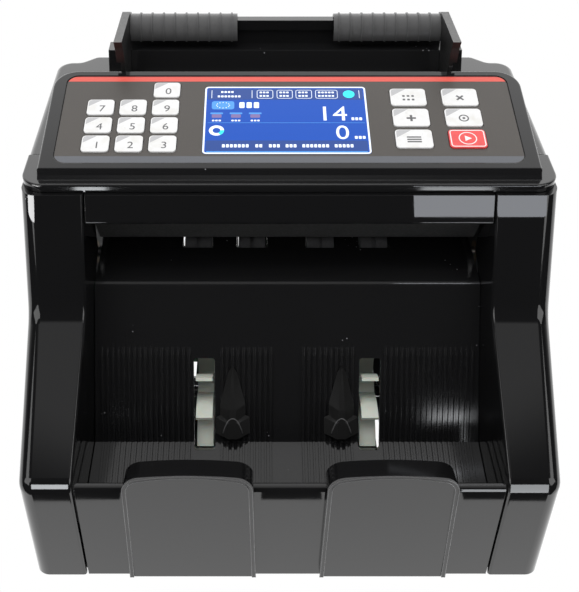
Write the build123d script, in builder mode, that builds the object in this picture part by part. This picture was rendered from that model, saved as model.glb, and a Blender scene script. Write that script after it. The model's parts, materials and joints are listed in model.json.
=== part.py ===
from build123d import *
import math
import os

# A desktop banknote counting machine, in millimetres.
# The origin is on the table under the middle of the machine: +X is to the operator's right,
# -Y is the front with the stacker pocket and +Z is up.

# ---- driving dimensions ---------------------------------------------------------------------
WIDTH = 253.0
DEPTH = 230.0
FOOT_HEIGHT = 4.0
PADDLE_PROUD = 4.0          # how far the stop paddles stand in front of the nose
HALF = WIDTH / 2
NOSE_Y = -DEPTH / 2 + PADDLE_PROUD
GAP = 0.3                   # seam between neighbouring covers
WALL = 2.5                  # moulded wall
COVER_WALL = 3.0            # moulded wall of the two arms


def back(distance):
    """Y of a point this far behind the nose of the machine."""
    return NOSE_Y + distance


# side outline: nose, sloping arm, bend, upright face, shelf
NOSE_Z = 71.5
BEND_BACK = 67.1
BEND_Z = 119.3
SHELF_BACK = 94.2
SHELF_Z = 175.5
SHELF_THICK = 4.0
SEAM_Z = SHELF_Z - SHELF_THICK
FACE_SLOPE = (SHELF_Z - BEND_Z) / (SHELF_BACK - BEND_BACK)
SPLIT_BACK = 121.0          # joint between the arms and the rear housing
REAR_BACK = 219.0
BULGE_BACK = 226.0
BULGE_HALF = 110.0
REAR_CORNER = 9.0


def face_back(z):
    """Distance behind the nose of the upright front face at height z."""
    return SHELF_BACK - (SHELF_Z - z) / FACE_SLOPE


# pocket between the arms: narrower at the top than at the nose
POCKET_TOP_HALF = 96.5
POCKET_NOSE_HALF = 100.9
INNER_WALL_X = 103.4

# stacker: floor, crease and ribbed wall
FLOOR_FRONT = (6.0, 37.9)
CREASE = (49.4, 47.9)
RIB_TOP = (74.8, 90.7)
CHUTE_FRONT = (92.0, 119.7)
CHUTE_REAR = (150.0, 119.7)
CHUTE_END = (168.0, 124.0)
TRAY_THICK = 2.4
RIB_PITCH = 2.76
RIB_WIDE = 1.1
RIB_HIGH = 1.2
RIB_RUN_OUT = 4.0           # length over which a rib sinks into the wall at its top
RIB_SPAN = 95.6
CENTRE_RECESS = 7.7
WHEEL_SLOT_HALF = 5.4

# shafts: (distance behind the nose, height), roller radius
STACK_AXIS = (82.8, 51.3)
TRANSPORT_AXIS = (128.0, 110.7)
FEED_AXIS = (192.0, 134.0)
PICKUP_AXIS = (199.8, 160.0)
MOTOR_AXIS = (186.0, 44.0)
WHEEL_X = 42.0
WHEEL_WIDE = 8.4
WHEEL_RADIUS = 33.0
TRANSPORT_RADIUS = 9.8
FEED_RADIUS = 14.5
PICKUP_RADIUS = 11.0
SHAFT_RADIUS = 3.0
ROLLER_XS = (-46.0, -18.0, 18.0, 46.0)
ROLLER_WIDE = 14.0
FRAME_X = 100.6
FRAME_THICK = 1.5
BEARING_RADIUS = 6.0
BELT_INNER_X = 105.0
BELT_OUTER_X = 111.5
BELT_WIDE = 4.0
BELT_THICK = 1.3
BELT_AIR = 0.25

# console: a wedge that carries the panel
CONSOLE_TILT = 10.6
CONSOLE_HALF = 118.5
CONSOLE_FRONT = (101.7, 180.0)
CONSOLE_LENGTH = 72.5
CONSOLE_CORNER = 12.0
CONSOLE_TOP_WALL = 3.3
OVERLAY_HALF = 112.0
OVERLAY_FROM = 3.5
OVERLAY_TO = 68.6
OVERLAY_CORNER = 6.0
RECESS = 0.8
OVERLAY_THICK = 0.5
LCD_SIZE = (81.0, 50.0)
LCD_CENTRE = (-1.0, 35.0)
KEY_AIR = 0.35
KEY_RAISE = 0.7
KEY_FLANGE = 0.5
SMALL_KEY = (13.3, 11.4)
LARGE_KEY = (17.9, 13.0)
SMALL_COLUMNS = (-92.8, -76.7, -60.6)
SMALL_ROWS = (16.9, 30.3, 43.6, 56.9)
LARGE_COLUMNS = (60.4, 86.2)
LARGE_ROWS = (20.4, 35.9, 51.3)
PANEL = Plane(
    origin=(0, back(CONSOLE_FRONT[0]), CONSOLE_FRONT[1]),
    x_dir=(1, 0, 0),
    z_dir=(0, -math.sin(math.radians(CONSOLE_TILT)), math.cos(math.radians(CONSOLE_TILT))),
)


def panel_point(along, above):
    """(distance behind the nose, height) of a point in the panel's own frame."""
    tilt = math.radians(CONSOLE_TILT)
    return (CONSOLE_FRONT[0] + along * math.cos(tilt) - above * math.sin(tilt),
            CONSOLE_FRONT[1] + along * math.sin(tilt) + above * math.cos(tilt))


CONSOLE_REAR = panel_point(CONSOLE_LENGTH, 0)

# hopper: back plate, rail and sliding guides
PLATE_FOOT = (184.0, 150.0)
PLATE_TOP = (203.0, 190.0)
PLATE_HALF = 95.4
RAIL_CENTRE = (212.0, 198.0)
RAIL_HALF = 84.5
SLEEVE_OUTER = 8.1
SLEEVE_INNER = 7.1
SLEEVE_FROM_X = 25.8
GUIDE_X = 83.2
GUIDE_THICK = 2.2
RACK_Z = 168.0
RACK_THICK = 3.5
PINION_BACK = 216.0
MODULE = 0.75
PINION_TEETH = 12
PITCH_RADIUS = MODULE * PINION_TEETH / 2
TAB_BACK = 220.6

os.makedirs("parts", exist_ok=True)


def save(builder, name):
    builder.part.label = name
    export_step(builder.part, f"parts/{name}.step")


def yz(points):
    """Points given as (distance behind the nose, height), in the side plane."""
    return [(back(p[0]), p[1]) for p in points]


def arm_outline():
    top_z = SEAM_Z - GAP
    return yz([
        (0, FOOT_HEIGHT), (0, NOSE_Z), (BEND_BACK, BEND_Z), (face_back(top_z), top_z),
        (SPLIT_BACK - GAP, top_z), (SPLIT_BACK - GAP, FOOT_HEIGHT),
    ])


def plan_between(top_half, nose_half, outer, rear):
    """Plan of a piece whose inner side tapers from the nose to the upright face."""
    return [
        (nose_half, back(-20)), (nose_half, back(0)), (top_half, back(SHELF_BACK)),
        (top_half, back(rear)), (outer, back(rear)), (outer, back(-20)),
    ]


# ---- arms: left and right side covers -------------------------------------------------------
ARM_NOSE_ROUND = 9.0
ARM_BEND_ROUND = 18.0
ARM_EDGE_ROUND = 7.0
ARM_INNER_ROUND = 1.6
BEHIND_POCKET = yz([
    (59, FOOT_HEIGHT - 1), (59, 50), (83, 92), (101, 121), (112, 125), (112, SEAM_Z + 1),
    (SPLIT_BACK + 1, SEAM_Z + 1), (SPLIT_BACK + 1, FOOT_HEIGHT - 1),
])
TRAY_CLEARANCE_Z = 8.0
CAVITY_NOSE_Z = NOSE_Z - 2.2

with BuildPart() as arm_cavity:
    with BuildSketch(Plane.YZ.offset(INNER_WALL_X)):
        with BuildLine():
            Polyline(*yz([
                (COVER_WALL, FOOT_HEIGHT - 1), (COVER_WALL, CAVITY_NOSE_Z),
                (BEND_BACK + 1.5, BEND_Z - 3.5), (face_back(SEAM_Z) + 3.2, SEAM_Z - COVER_WALL),
                (SPLIT_BACK + 1, SEAM_Z - COVER_WALL), (SPLIT_BACK + 1, FOOT_HEIGHT - 1),
            ]), close=True)
        make_face()
        fillet([v for v in vertices() if abs(v.Y - CAVITY_NOSE_Z) < 0.1],
               ARM_NOSE_ROUND - COVER_WALL)
    extrude(amount=HALF - COVER_WALL - INNER_WALL_X)
    fillet([
        e for e in faces().sort_by(Axis.X)[-1].edges()
        if e.center().Z > FOOT_HEIGHT and e.center().Y < back(SPLIT_BACK)
        and e.center().Z < SEAM_Z - COVER_WALL - 1
    ], ARM_EDGE_ROUND - COVER_WALL)

with BuildPart() as right_side_cover:
    with BuildSketch(Plane.YZ.offset(POCKET_TOP_HALF)):
        with BuildLine():
            Polyline(*arm_outline(), close=True)
        make_face()
        fillet([v for v in vertices() if abs(v.Y - NOSE_Z) < 0.1], ARM_NOSE_ROUND)
        fillet([v for v in vertices() if abs(v.Y - BEND_Z) < 0.1], ARM_BEND_ROUND)
    extrude(amount=HALF - POCKET_TOP_HALF)
    outer_face = faces().sort_by(Axis.X)[-1]
    outer_edges = [
        e for e in outer_face.edges()
        if e.center().Z > FOOT_HEIGHT + 1 and e.center().Y < back(SPLIT_BACK) - 1
        and e.center().Z < SEAM_Z - 1
    ]
    fillet(outer_edges, ARM_EDGE_ROUND)
    with BuildSketch(Plane.XY):
        with BuildLine():
            Polyline(*plan_between(POCKET_TOP_HALF, POCKET_NOSE_HALF, HALF + 1, SPLIT_BACK),
                     close=True)
        make_face()
    extrude(amount=SHELF_Z, mode=Mode.INTERSECT)
    inner_edges = [
        e for e in edges()
        if POCKET_TOP_HALF - 0.1 < e.center().X < POCKET_NOSE_HALF + 0.1
        and FOOT_HEIGHT + 1 < e.center().Z < SEAM_Z - 1 and e.center().Y < back(SHELF_BACK) - 1
    ]
    fillet(inner_edges, ARM_INNER_ROUND)
    add(arm_cavity.part, mode=Mode.SUBTRACT)
    with BuildSketch(Plane.YZ.offset(POCKET_TOP_HALF - 1)):
        with BuildLine():
            Polyline(*BEHIND_POCKET, close=True)
        make_face()
    extrude(amount=INNER_WALL_X - POCKET_TOP_HALF + 2, mode=Mode.SUBTRACT)
    with BuildSketch(Plane.XY.offset(FOOT_HEIGHT - 1)):
        with Locations((HALF - COVER_WALL - 15, back(62))):
            Rectangle(30, 118)
    extrude(amount=TRAY_CLEARANCE_Z - FOOT_HEIGHT + 1, mode=Mode.SUBTRACT)
save(right_side_cover, "right_side_cover")

with BuildPart() as left_side_cover:
    mirror(right_side_cover.part, about=Plane.YZ)
save(left_side_cover, "left_side_cover")


# ---- base tray ------------------------------------------------------------------------------
TRAY_HALF = 121.6
TRAY_FLOOR = 3.0
TRAY_RIM = 10.0
with BuildPart() as base_tray:
    with BuildSketch(Plane.XY.offset(FOOT_HEIGHT)):
        with BuildLine():
            Polyline(
                (-TRAY_HALF, back(4.2)), (TRAY_HALF, back(4.2)), (TRAY_HALF, back(215.6)),
                (-TRAY_HALF, back(215.6)), close=True)
        make_face()
        fillet(vertices().group_by(Axis.Y)[-1], REAR_CORNER - 2)
    extrude(amount=TRAY_FLOOR)
    with BuildSketch(Plane.XY.offset(FOOT_HEIGHT + TRAY_FLOOR)):
        with Locations((0, back(134.5))):
            RectangleRounded(2 * TRAY_HALF - 46, 150, 6)
            RectangleRounded(2 * TRAY_HALF - 50, 146, 4, mode=Mode.SUBTRACT)
    extrude(amount=TRAY_RIM - TRAY_FLOOR)
    with BuildSketch(Plane.XY.offset(FOOT_HEIGHT)):
        with Locations((0, back(120))):
            with GridLocations(9, 44, 13, 2):
                SlotOverall(34, 3.4, rotation=90)
    extrude(amount=TRAY_FLOOR, mode=Mode.SUBTRACT)
save(base_tray, "base_tray")


# ---- rear housing ---------------------------------------------------------------------------
OPENING_HALF = 96.2
CONSOLE_OPENING_HALF = 113.0
HOPPER_FRONT_BACK = 173.6
HOPPER_REAR_BACK = 203.6
INLET_X = 58.0
INLET_Z = 32.0
INLET_CUT = (27.6, 20.2)
SWITCH_X = 86.0
SWITCH_CUT = (13.2, 19.4)
RECESS_DEEP = 1.2
TAB_SLOT = (46.0, 76.0)


def housing_plan(inset):
    """Plan of the rear housing, drawn inwards by the wall thickness."""
    side = HALF - inset
    rear = back(REAR_BACK - inset)
    bulge = back(BULGE_BACK - inset)
    bulge_half = BULGE_HALF - inset
    return [
        (-side, back(SPLIT_BACK - (1 if inset else 0))), (side, back(SPLIT_BACK - (1 if inset else 0))),
        (side, rear), (bulge_half + 4, rear), (bulge_half - 4, bulge),
        (-bulge_half + 4, bulge), (-bulge_half - 4, rear), (-side, rear),
    ]


with BuildPart() as rear_housing:
    with BuildSketch(Plane.XY.offset(FOOT_HEIGHT)):
        with BuildLine():
            Polyline(*housing_plan(0), close=True)
        make_face()
        corners = [v for v in vertices() if abs(v.X) > HALF - 1 and v.Y > back(REAR_BACK - 1)]
        fillet(corners, REAR_CORNER)
        fillet([v for v in vertices() if abs(v.X) < BULGE_HALF + 5 and v.Y > back(200)], 5)
    extrude(amount=SHELF_Z - FOOT_HEIGHT)
    top_edges = [
        e for e in faces().sort_by(Axis.Z)[-1].edges() if e.center().Y > back(SPLIT_BACK) + 1
    ]
    fillet(top_edges, 3.0)
    with BuildSketch(Plane.XY.offset(FOOT_HEIGHT - 1)):
        with BuildLine():
            Polyline(*housing_plan(WALL), close=True)
        make_face()
        corners = [v for v in vertices() if abs(v.X) > HALF - 4 and v.Y > back(REAR_BACK - 4)]
        fillet(corners, REAR_CORNER - WALL)
    extrude(amount=SHELF_Z - WALL - FOOT_HEIGHT + 1, mode=Mode.SUBTRACT)
    with BuildSketch(Plane.XY.offset(SHELF_Z - 2 * WALL)):
        with Locations((0, back((SPLIT_BACK + HOPPER_FRONT_BACK) / 2 - 1))):
            Rectangle(2 * CONSOLE_OPENING_HALF, HOPPER_FRONT_BACK - SPLIT_BACK + 2)
        with Locations((0, back((HOPPER_FRONT_BACK + HOPPER_REAR_BACK) / 2 - 1))):
            Rectangle(2 * OPENING_HALF, HOPPER_REAR_BACK - HOPPER_FRONT_BACK + 2)
    extrude(amount=4 * WALL, mode=Mode.SUBTRACT)
    with BuildSketch(Plane.XZ.offset(-back(BULGE_BACK + 1))):
        with Locations((INLET_X, INLET_Z)):
            RectangleRounded(*INLET_CUT, 2)
        with Locations((SWITCH_X, INLET_Z)):
            RectangleRounded(*SWITCH_CUT, 1)
        with Locations((-40, 60)):
            with GridLocations(7, 30, 13, 2):
                SlotOverall(24, 3.2, rotation=90)
    extrude(amount=WALL + 3, mode=Mode.SUBTRACT)
    with BuildSketch(Plane.XZ.offset(-back(BULGE_BACK + 1))):
        with Locations(((INLET_X + SWITCH_X) / 2, INLET_Z)):
            RectangleRounded(64, 34, 3)
    extrude(amount=1 + RECESS_DEEP, mode=Mode.SUBTRACT)
    with BuildSketch(Plane.XY.offset(SHELF_Z - 2 * WALL)):
        with Locations((-sum(TAB_SLOT) / 2, back(TAB_BACK)), (sum(TAB_SLOT) / 2, back(TAB_BACK))):
            SlotOverall(TAB_SLOT[1] - TAB_SLOT[0] + 8, 3.6)
    extrude(amount=4 * WALL, mode=Mode.SUBTRACT)
save(rear_housing, "rear_housing")


# ---- console housing ------------------------------------------------------------------------
KEY_SPOTS = {}
digits = (("key_1", "key_2", "key_3"), ("key_4", "key_5", "key_6"), ("key_7", "key_8", "key_9"))
for row, names in enumerate(digits):
    for column, key_name in enumerate(names):
        KEY_SPOTS[key_name] = (SMALL_COLUMNS[column], SMALL_ROWS[row], SMALL_KEY)
KEY_SPOTS["key_0"] = (SMALL_COLUMNS[2], SMALL_ROWS[3], SMALL_KEY)
functions = (("key_batch", "key_start"), ("key_add", "key_mode"), ("key_menu", "key_clear"))
for row, names in enumerate(functions):
    for column, key_name in enumerate(names):
        KEY_SPOTS[key_name] = (LARGE_COLUMNS[column], LARGE_ROWS[row], LARGE_KEY)
KEY_ROUND = 2.0
HOPPER_WALL_HALF = 95.0
HOPPER_WALL_FOOT_Z = 152.0
SHELF_CORNER = 11.0

with BuildPart() as console_housing:
    with BuildSketch(Plane.XY.offset(SEAM_Z)):
        with BuildLine():
            Polyline(
                (-HALF, back(SHELF_BACK)), (HALF, back(SHELF_BACK)), (HALF, back(SPLIT_BACK - GAP)),
                (-HALF, back(SPLIT_BACK - GAP)), close=True)
        make_face()
        fillet(vertices().group_by(Axis.Y)[0], SHELF_CORNER)
    extrude(amount=SHELF_THICK)
    shelf_top = faces().sort_by(Axis.Z)[-1]
    fillet([e for e in shelf_top.edges() if e.center().Y < back(SPLIT_BACK) - 2], 1.0)
    with BuildSketch(Plane.YZ.offset(-CONSOLE_HALF)):
        with BuildLine():
            Polyline(*yz([
                (98.6, SHELF_Z - 1), (98.6, SHELF_Z), (100.2, SHELF_Z + 1.6), CONSOLE_FRONT,
                CONSOLE_REAR, (CONSOLE_REAR[0], SHELF_Z + 0.1), (SPLIT_BACK - GAP, SHELF_Z + 0.1),
                (SPLIT_BACK - GAP, SHELF_Z - 1),
            ]), close=True)
        make_face()
    extrude(amount=2 * CONSOLE_HALF)
    rear_corners = edges().filter_by(Axis.Z).filter_by(lambda e: e.center().Y > back(165))
    fillet(rear_corners, CONSOLE_CORNER)
    panel_faces = faces().filter_by(lambda f: abs(f.normal_at().dot(PANEL.z_dir) - 1) < 0.001)
    fillet(panel_faces.sort_by(Axis.Z)[-1].edges(), 0.8)
    with BuildSketch(Plane.YZ.offset(-CONSOLE_HALF + WALL)):
        with BuildLine():
            Polyline(*yz([
                (SHELF_BACK + WALL, SEAM_Z - 1), (SHELF_BACK + WALL, SEAM_Z + SHELF_THICK - 1.6),
                panel_point(2.5, -CONSOLE_TOP_WALL),
                panel_point(CONSOLE_LENGTH - WALL - 0.6, -CONSOLE_TOP_WALL),
                (CONSOLE_REAR[0] - WALL, SEAM_Z - 1),
            ]), close=True)
        make_face()
    extrude(amount=2 * (CONSOLE_HALF - WALL), mode=Mode.SUBTRACT)
    with BuildSketch(Plane.YZ.offset(-HOPPER_WALL_HALF)):
        with BuildLine():
            Polyline(*yz([
                (CONSOLE_REAR[0] - WALL, HOPPER_WALL_FOOT_Z),
                (CONSOLE_REAR[0] - 0.2, HOPPER_WALL_FOOT_Z),
                (CONSOLE_REAR[0] - 0.2, CONSOLE_REAR[1] - 6),
                (CONSOLE_REAR[0] - WALL, CONSOLE_REAR[1] - 6),
            ]), close=True)
        make_face()
    extrude(amount=2 * HOPPER_WALL_HALF)
    with BuildSketch(PANEL.offset(-RECESS)):
        with Locations((0, (OVERLAY_FROM + OVERLAY_TO) / 2)):
            RectangleRounded(2 * OVERLAY_HALF, OVERLAY_TO - OVERLAY_FROM, OVERLAY_CORNER)
    extrude(amount=RECESS + 1, mode=Mode.SUBTRACT)
    with BuildSketch(PANEL.offset(-CONSOLE_TOP_WALL - 4)):
        for spot_x, spot_y, size in KEY_SPOTS.values():
            with Locations((spot_x, spot_y)):
                RectangleRounded(size[0] + 2 * KEY_AIR, size[1] + 2 * KEY_AIR, KEY_ROUND + KEY_AIR)
        with Locations(LCD_CENTRE):
            Rectangle(LCD_SIZE[0] - 4, LCD_SIZE[1] - 4)
    extrude(amount=CONSOLE_TOP_WALL + 5, mode=Mode.SUBTRACT)
save(console_housing, "console_housing")


# ---- printed overlay and display window -----------------------------------------------------
with BuildPart() as control_overlay:
    with BuildSketch(PANEL.offset(-RECESS)):
        with Locations((0, (OVERLAY_FROM + OVERLAY_TO) / 2)):
            RectangleRounded(2 * OVERLAY_HALF - 0.8, OVERLAY_TO - OVERLAY_FROM - 0.8, OVERLAY_CORNER - 0.4)
        for spot_x, spot_y, size in KEY_SPOTS.values():
            with Locations((spot_x, spot_y)):
                RectangleRounded(size[0] + 2 * KEY_AIR, size[1] + 2 * KEY_AIR, KEY_ROUND + KEY_AIR,
                                 mode=Mode.SUBTRACT)
        with Locations(LCD_CENTRE):
            RectangleRounded(*LCD_SIZE, 2, mode=Mode.SUBTRACT)
    extrude(amount=OVERLAY_THICK)
save(control_overlay, "control_overlay")

with BuildPart() as lcd_window:
    with BuildSketch(PANEL.offset(-RECESS)):
        with Locations(LCD_CENTRE):
            RectangleRounded(LCD_SIZE[0] - 0.3, LCD_SIZE[1] - 0.3, 1.9)
    extrude(amount=OVERLAY_THICK)
save(lcd_window, "lcd_window")

with BuildPart() as lcd_module:
    with BuildSketch(PANEL.offset(-RECESS - 0.1)):
        with Locations(LCD_CENTRE):
            Rectangle(LCD_SIZE[0] - 4.6, LCD_SIZE[1] - 4.6)
    extrude(amount=-5.0)
save(lcd_module, "lcd_module")

BOARD_DROP = 6.8
BOARD_THICK = 1.6
with BuildPart() as keypad_board:
    with BuildSketch(PANEL.offset(-BOARD_DROP)):
        with Locations((0, 36)):
            RectangleRounded(216, 58, 2)
    extrude(amount=-BOARD_THICK)
save(keypad_board, "keypad_board")


# ---- keys -----------------------------------------------------------------------------------
def make_key(name, spot_x, spot_y, size):
    with BuildPart() as key:
        with BuildSketch(PANEL.offset(-CONSOLE_TOP_WALL - 0.05)):
            with Locations((spot_x, spot_y)):
                RectangleRounded(*size, KEY_ROUND)
        extrude(amount=CONSOLE_TOP_WALL + 0.05 - RECESS + OVERLAY_THICK + KEY_RAISE)
        crown = faces().sort_by(Axis(PANEL.origin, PANEL.z_dir))[-1]
        fillet(crown.edges(), 0.4)
        with BuildSketch(PANEL.offset(-CONSOLE_TOP_WALL - 0.05)):
            with Locations((spot_x, spot_y)):
                RectangleRounded(size[0] + 2 * KEY_FLANGE, size[1] + 2 * KEY_FLANGE, KEY_ROUND)
        extrude(amount=-0.9)
    save(key, name)


for key_name, (spot_x, spot_y, size) in KEY_SPOTS.items():
    make_key(key_name, spot_x, spot_y, size)


# ---- front fascia ---------------------------------------------------------------------------
FASCIA_HALF = 95.9
FASCIA_FOOT_Z = 158.0
FASCIA_THICK = 2.5
FASCIA_RETURN = 9.0
with BuildPart() as front_fascia:
    with BuildSketch(Plane.YZ.offset(-FASCIA_HALF)):
        with BuildLine():
            top_z = SEAM_Z - GAP
            Polyline(*yz([
                (face_back(top_z), top_z), (face_back(FASCIA_FOOT_Z), FASCIA_FOOT_Z),
                (face_back(FASCIA_FOOT_Z) + FASCIA_RETURN, FASCIA_FOOT_Z),
                (face_back(FASCIA_FOOT_Z) + FASCIA_RETURN, FASCIA_FOOT_Z + FASCIA_THICK),
                (face_back(FASCIA_FOOT_Z + FASCIA_THICK) + FASCIA_THICK, FASCIA_FOOT_Z + FASCIA_THICK),
                (face_back(top_z) + FASCIA_THICK, top_z),
            ]), close=True)
        make_face()
    extrude(amount=2 * FASCIA_HALF)
    lower_lip = edges().filter_by(Axis.X).sort_by(Axis.Y)[0]
    fillet(lower_lip, 1.5)
save(front_fascia, "front_fascia")


# ---- stacker tray: ribbed pocket and chute --------------------------------------------------
def wall_directions():
    """Outward direction of the stacker wall, and of its crease with the floor."""
    wall_angle = math.atan2(RIB_TOP[1] - CREASE[1], RIB_TOP[0] - CREASE[0])
    out = (-math.sin(wall_angle), math.cos(wall_angle))
    floor_angle = math.atan2(CREASE[1] - FLOOR_FRONT[1], CREASE[0] - FLOOR_FRONT[0])
    half_turn = (wall_angle + floor_angle) / 2
    corner = 1 / math.cos((wall_angle - floor_angle) / 2)
    crease_out = (-math.sin(half_turn) * corner, math.cos(half_turn) * corner)
    return out, crease_out


def offset_point(point, direction, amount):
    return (point[0] + direction[0] * amount, point[1] + direction[1] * amount)


WALL_OUT, CREASE_OUT = wall_directions()
SLOT_FROM = -3.2           # the wheels reach through the crease as they turn
SLOT_TO = 44.0
with BuildPart() as stacker_tray:
    with BuildSketch(Plane.YZ.offset(-HALF)):
        with BuildLine():
            Polyline(*yz([
                FLOOR_FRONT, CREASE, CHUTE_FRONT, CHUTE_REAR, CHUTE_END,
                offset_point(CHUTE_END, (0.4, -1), TRAY_THICK),
                offset_point(CHUTE_REAR, (0, -1), TRAY_THICK),
                offset_point(CHUTE_FRONT, (0.9, -1), TRAY_THICK),
                offset_point(CREASE, CREASE_OUT, -TRAY_THICK),
                offset_point(FLOOR_FRONT, (0.2, -1), TRAY_THICK),
            ]), close=True)
        make_face()
        chute_lip = (back(CHUTE_FRONT[0]), CHUTE_FRONT[1])
        fillet([v for v in vertices() if math.dist((v.X, v.Y), chute_lip) < 0.1], 6)
    extrude(amount=2 * HALF)
    with BuildSketch(Plane.XY):
        with BuildLine():
            top = POCKET_TOP_HALF - GAP
            nose = POCKET_NOSE_HALF - GAP
            Polyline(
                (nose, back(0)), (top, back(SHELF_BACK)), (top, back(200)), (-top, back(200)),
                (-top, back(SHELF_BACK)), (-nose, back(0)), close=True)
        make_face()
    extrude(amount=SHELF_Z, mode=Mode.INTERSECT)
    rib_count = int(RIB_SPAN / RIB_PITCH)
    rib_xs = [
        i * RIB_PITCH for i in range(-rib_count, rib_count + 1)
        if abs(i * RIB_PITCH) > CENTRE_RECESS
        and abs(abs(i * RIB_PITCH) - WHEEL_X) > WHEEL_SLOT_HALF + RIB_WIDE
    ]
    rib_end = offset_point(offset_point(RIB_TOP, WALL_OUT, RIB_HIGH), (-0.51, -0.86), RIB_RUN_OUT)
    with BuildSketch(*[Plane.YZ.offset(x - RIB_WIDE / 2) for x in rib_xs]):
        with BuildLine():
            Polyline(*yz([
                FLOOR_FRONT, offset_point(FLOOR_FRONT, (0, 1), RIB_HIGH),
                offset_point(CREASE, CREASE_OUT, RIB_HIGH), rib_end,
                RIB_TOP, offset_point(CREASE, CREASE_OUT, -0.5),
            ]), close=True)
        make_face()
    extrude(amount=RIB_WIDE)
    slot_plane = Plane(origin=(0, back(CREASE[0]), CREASE[1]), x_dir=(1, 0, 0),
                       z_dir=(0, WALL_OUT[0], WALL_OUT[1]))
    with BuildSketch(slot_plane.offset(-6)):
        with Locations((-WHEEL_X, (SLOT_FROM + SLOT_TO) / 2), (WHEEL_X, (SLOT_FROM + SLOT_TO) / 2)):
            RectangleRounded(2 * WHEEL_SLOT_HALF, SLOT_TO - SLOT_FROM, 1.5)
    extrude(amount=12, mode=Mode.SUBTRACT)
    with BuildSketch(Plane.XY.offset(CHUTE_REAR[1] - 2 * TRAY_THICK)):
        with Locations(*[(x, back(TRANSPORT_AXIS[0])) for x in ROLLER_XS]):
            Rectangle(ROLLER_WIDE + 2, 17)
    extrude(amount=4 * TRAY_THICK, mode=Mode.SUBTRACT)
save(stacker_tray, "stacker_tray")


# ---- stacker front plate --------------------------------------------------------------------
PLATE_THICK = 3.0
LIP_DEPTH = 4.6
FRONT_HALF = POCKET_NOSE_HALF - 0.9
LIP_Z = 70.5
with BuildPart() as stacker_front_plate:
    with BuildSketch(Plane.YZ.offset(-FRONT_HALF)):
        with BuildLine():
            Polyline(*yz([
                (0.5, FOOT_HEIGHT), (0.5, LIP_Z), (LIP_DEPTH, LIP_Z), (LIP_DEPTH, LIP_Z - PLATE_THICK),
                (PLATE_THICK + 0.5, LIP_Z - PLATE_THICK), (PLATE_THICK + 0.5, FOOT_HEIGHT),
            ]), close=True)
        make_face()
        fillet([v for v in vertices() if abs(v.Y - LIP_Z) < 0.1 and v.X < back(1)], 2.4)
        fillet([v for v in vertices() if abs(v.Y - LIP_Z) < 0.1 and v.X > back(4)], 0.8)
    extrude(amount=2 * FRONT_HALF)
save(stacker_front_plate, "stacker_front_plate")


# ---- stop paddles ---------------------------------------------------------------------------
PADDLE_TOP = (17.0, 76.5)
PADDLE_FOOT = (15.8, 78.5)
PADDLE_TOP_Z = 85.3
PADDLE_BOW = 2.4            # rise of the bowed top edge over its shoulders
PADDLE_FOOT_Z = 7.4
PADDLE_CORNER = 9.0
PADDLE_HOOK = 9.0           # how far the top reaches back over the pocket
PADDLE_FALL = 4.2           # how much lower the top is at its rear
PADDLE_RIM = 2.0
PADDLE_RELIEF = 0.6


def paddle_face(inset, foot, fall):
    """Bowed outline of a paddle, drawn inwards by its rim and lowered towards its rear."""
    shoulder = PADDLE_TOP_Z - PADDLE_BOW - inset - fall
    middle = (PADDLE_TOP[0] + PADDLE_TOP[1]) / 2
    with BuildLine() as outline:
        ThreePointArc((PADDLE_TOP[0] + inset, shoulder), (middle, shoulder + PADDLE_BOW),
                      (PADDLE_TOP[1] - inset, shoulder))
        Polyline(
            (PADDLE_TOP[1] - inset, shoulder), (PADDLE_FOOT[1] - inset, foot),
            (PADDLE_FOOT[0] + inset, foot), (PADDLE_TOP[0] + inset, shoulder))
    return outline.wires()[0]


with BuildPart() as stop_paddle_right:
    for distance, fall in ((-PADDLE_PROUD, 0), (PADDLE_HOOK, PADDLE_FALL)):
        with BuildSketch(Plane.XZ.offset(-back(distance))):
            make_face(paddle_face(0, PADDLE_FOOT_Z, fall).edges())
            fillet(vertices().group_by(Axis.Y)[-1], PADDLE_CORNER)
    loft(ruled=True)
    with BuildSketch(Plane.XZ.offset(-back(0) + PADDLE_PROUD - PADDLE_RELIEF)):
        make_face(paddle_face(PADDLE_RIM, PADDLE_FOOT_Z - 1, 0).edges())
        fillet(vertices().group_by(Axis.Y)[-1], PADDLE_CORNER - PADDLE_RIM)
    extrude(amount=PADDLE_RELIEF + 1, mode=Mode.SUBTRACT)
    with BuildSketch(Plane.YZ.offset(PADDLE_FOOT[0] - 2)):
        with BuildLine():
            Polyline(*yz([
                (0.2, PADDLE_FOOT_Z - 1), (0.2, LIP_Z + 0.2), (PADDLE_HOOK + 1, LIP_Z + 0.2),
                (PADDLE_HOOK + 1, PADDLE_FOOT_Z - 1),
            ]), close=True)
        make_face()
    extrude(amount=PADDLE_FOOT[1] - PADDLE_FOOT[0] + 4, mode=Mode.SUBTRACT)
save(stop_paddle_right, "stop_paddle_right")

with BuildPart() as stop_paddle_left:
    mirror(stop_paddle_right.part, about=Plane.YZ)
save(stop_paddle_left, "stop_paddle_left")


# ---- note fins: two spires that part the falling notes --------------------------------------
FIN_X = 27.6
FIN_SECTIONS = (          # height, width, front, rear (distance behind the nose)
    (53.0, 17.4, 46.6, 50.9), (60.2, 17.4, 50.4, 55.2), (61.2, 12.8, 51.0, 55.8),
    (66.2, 12.8, 54.0, 58.8), (80.0, 4.6, 64.8, 67.0), (82.5, 1.6, 66.8, 68.4),
)


def make_fin(name, side):
    with BuildPart() as fin:
        for z, wide, front, rear in FIN_SECTIONS:
            with BuildSketch(Plane.XY.offset(z)):
                with BuildLine():
                    x = side * FIN_X
                    Polyline(
                        (x - wide / 2, back(rear)), (x - wide / 8, back(front)), (x + wide / 8, back(front)),
                        (x + wide / 2, back(rear)), close=True)
                make_face()
        loft(ruled=True)
    save(fin, name)


make_fin("note_fin_left", -1)
make_fin("note_fin_right", 1)


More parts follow.
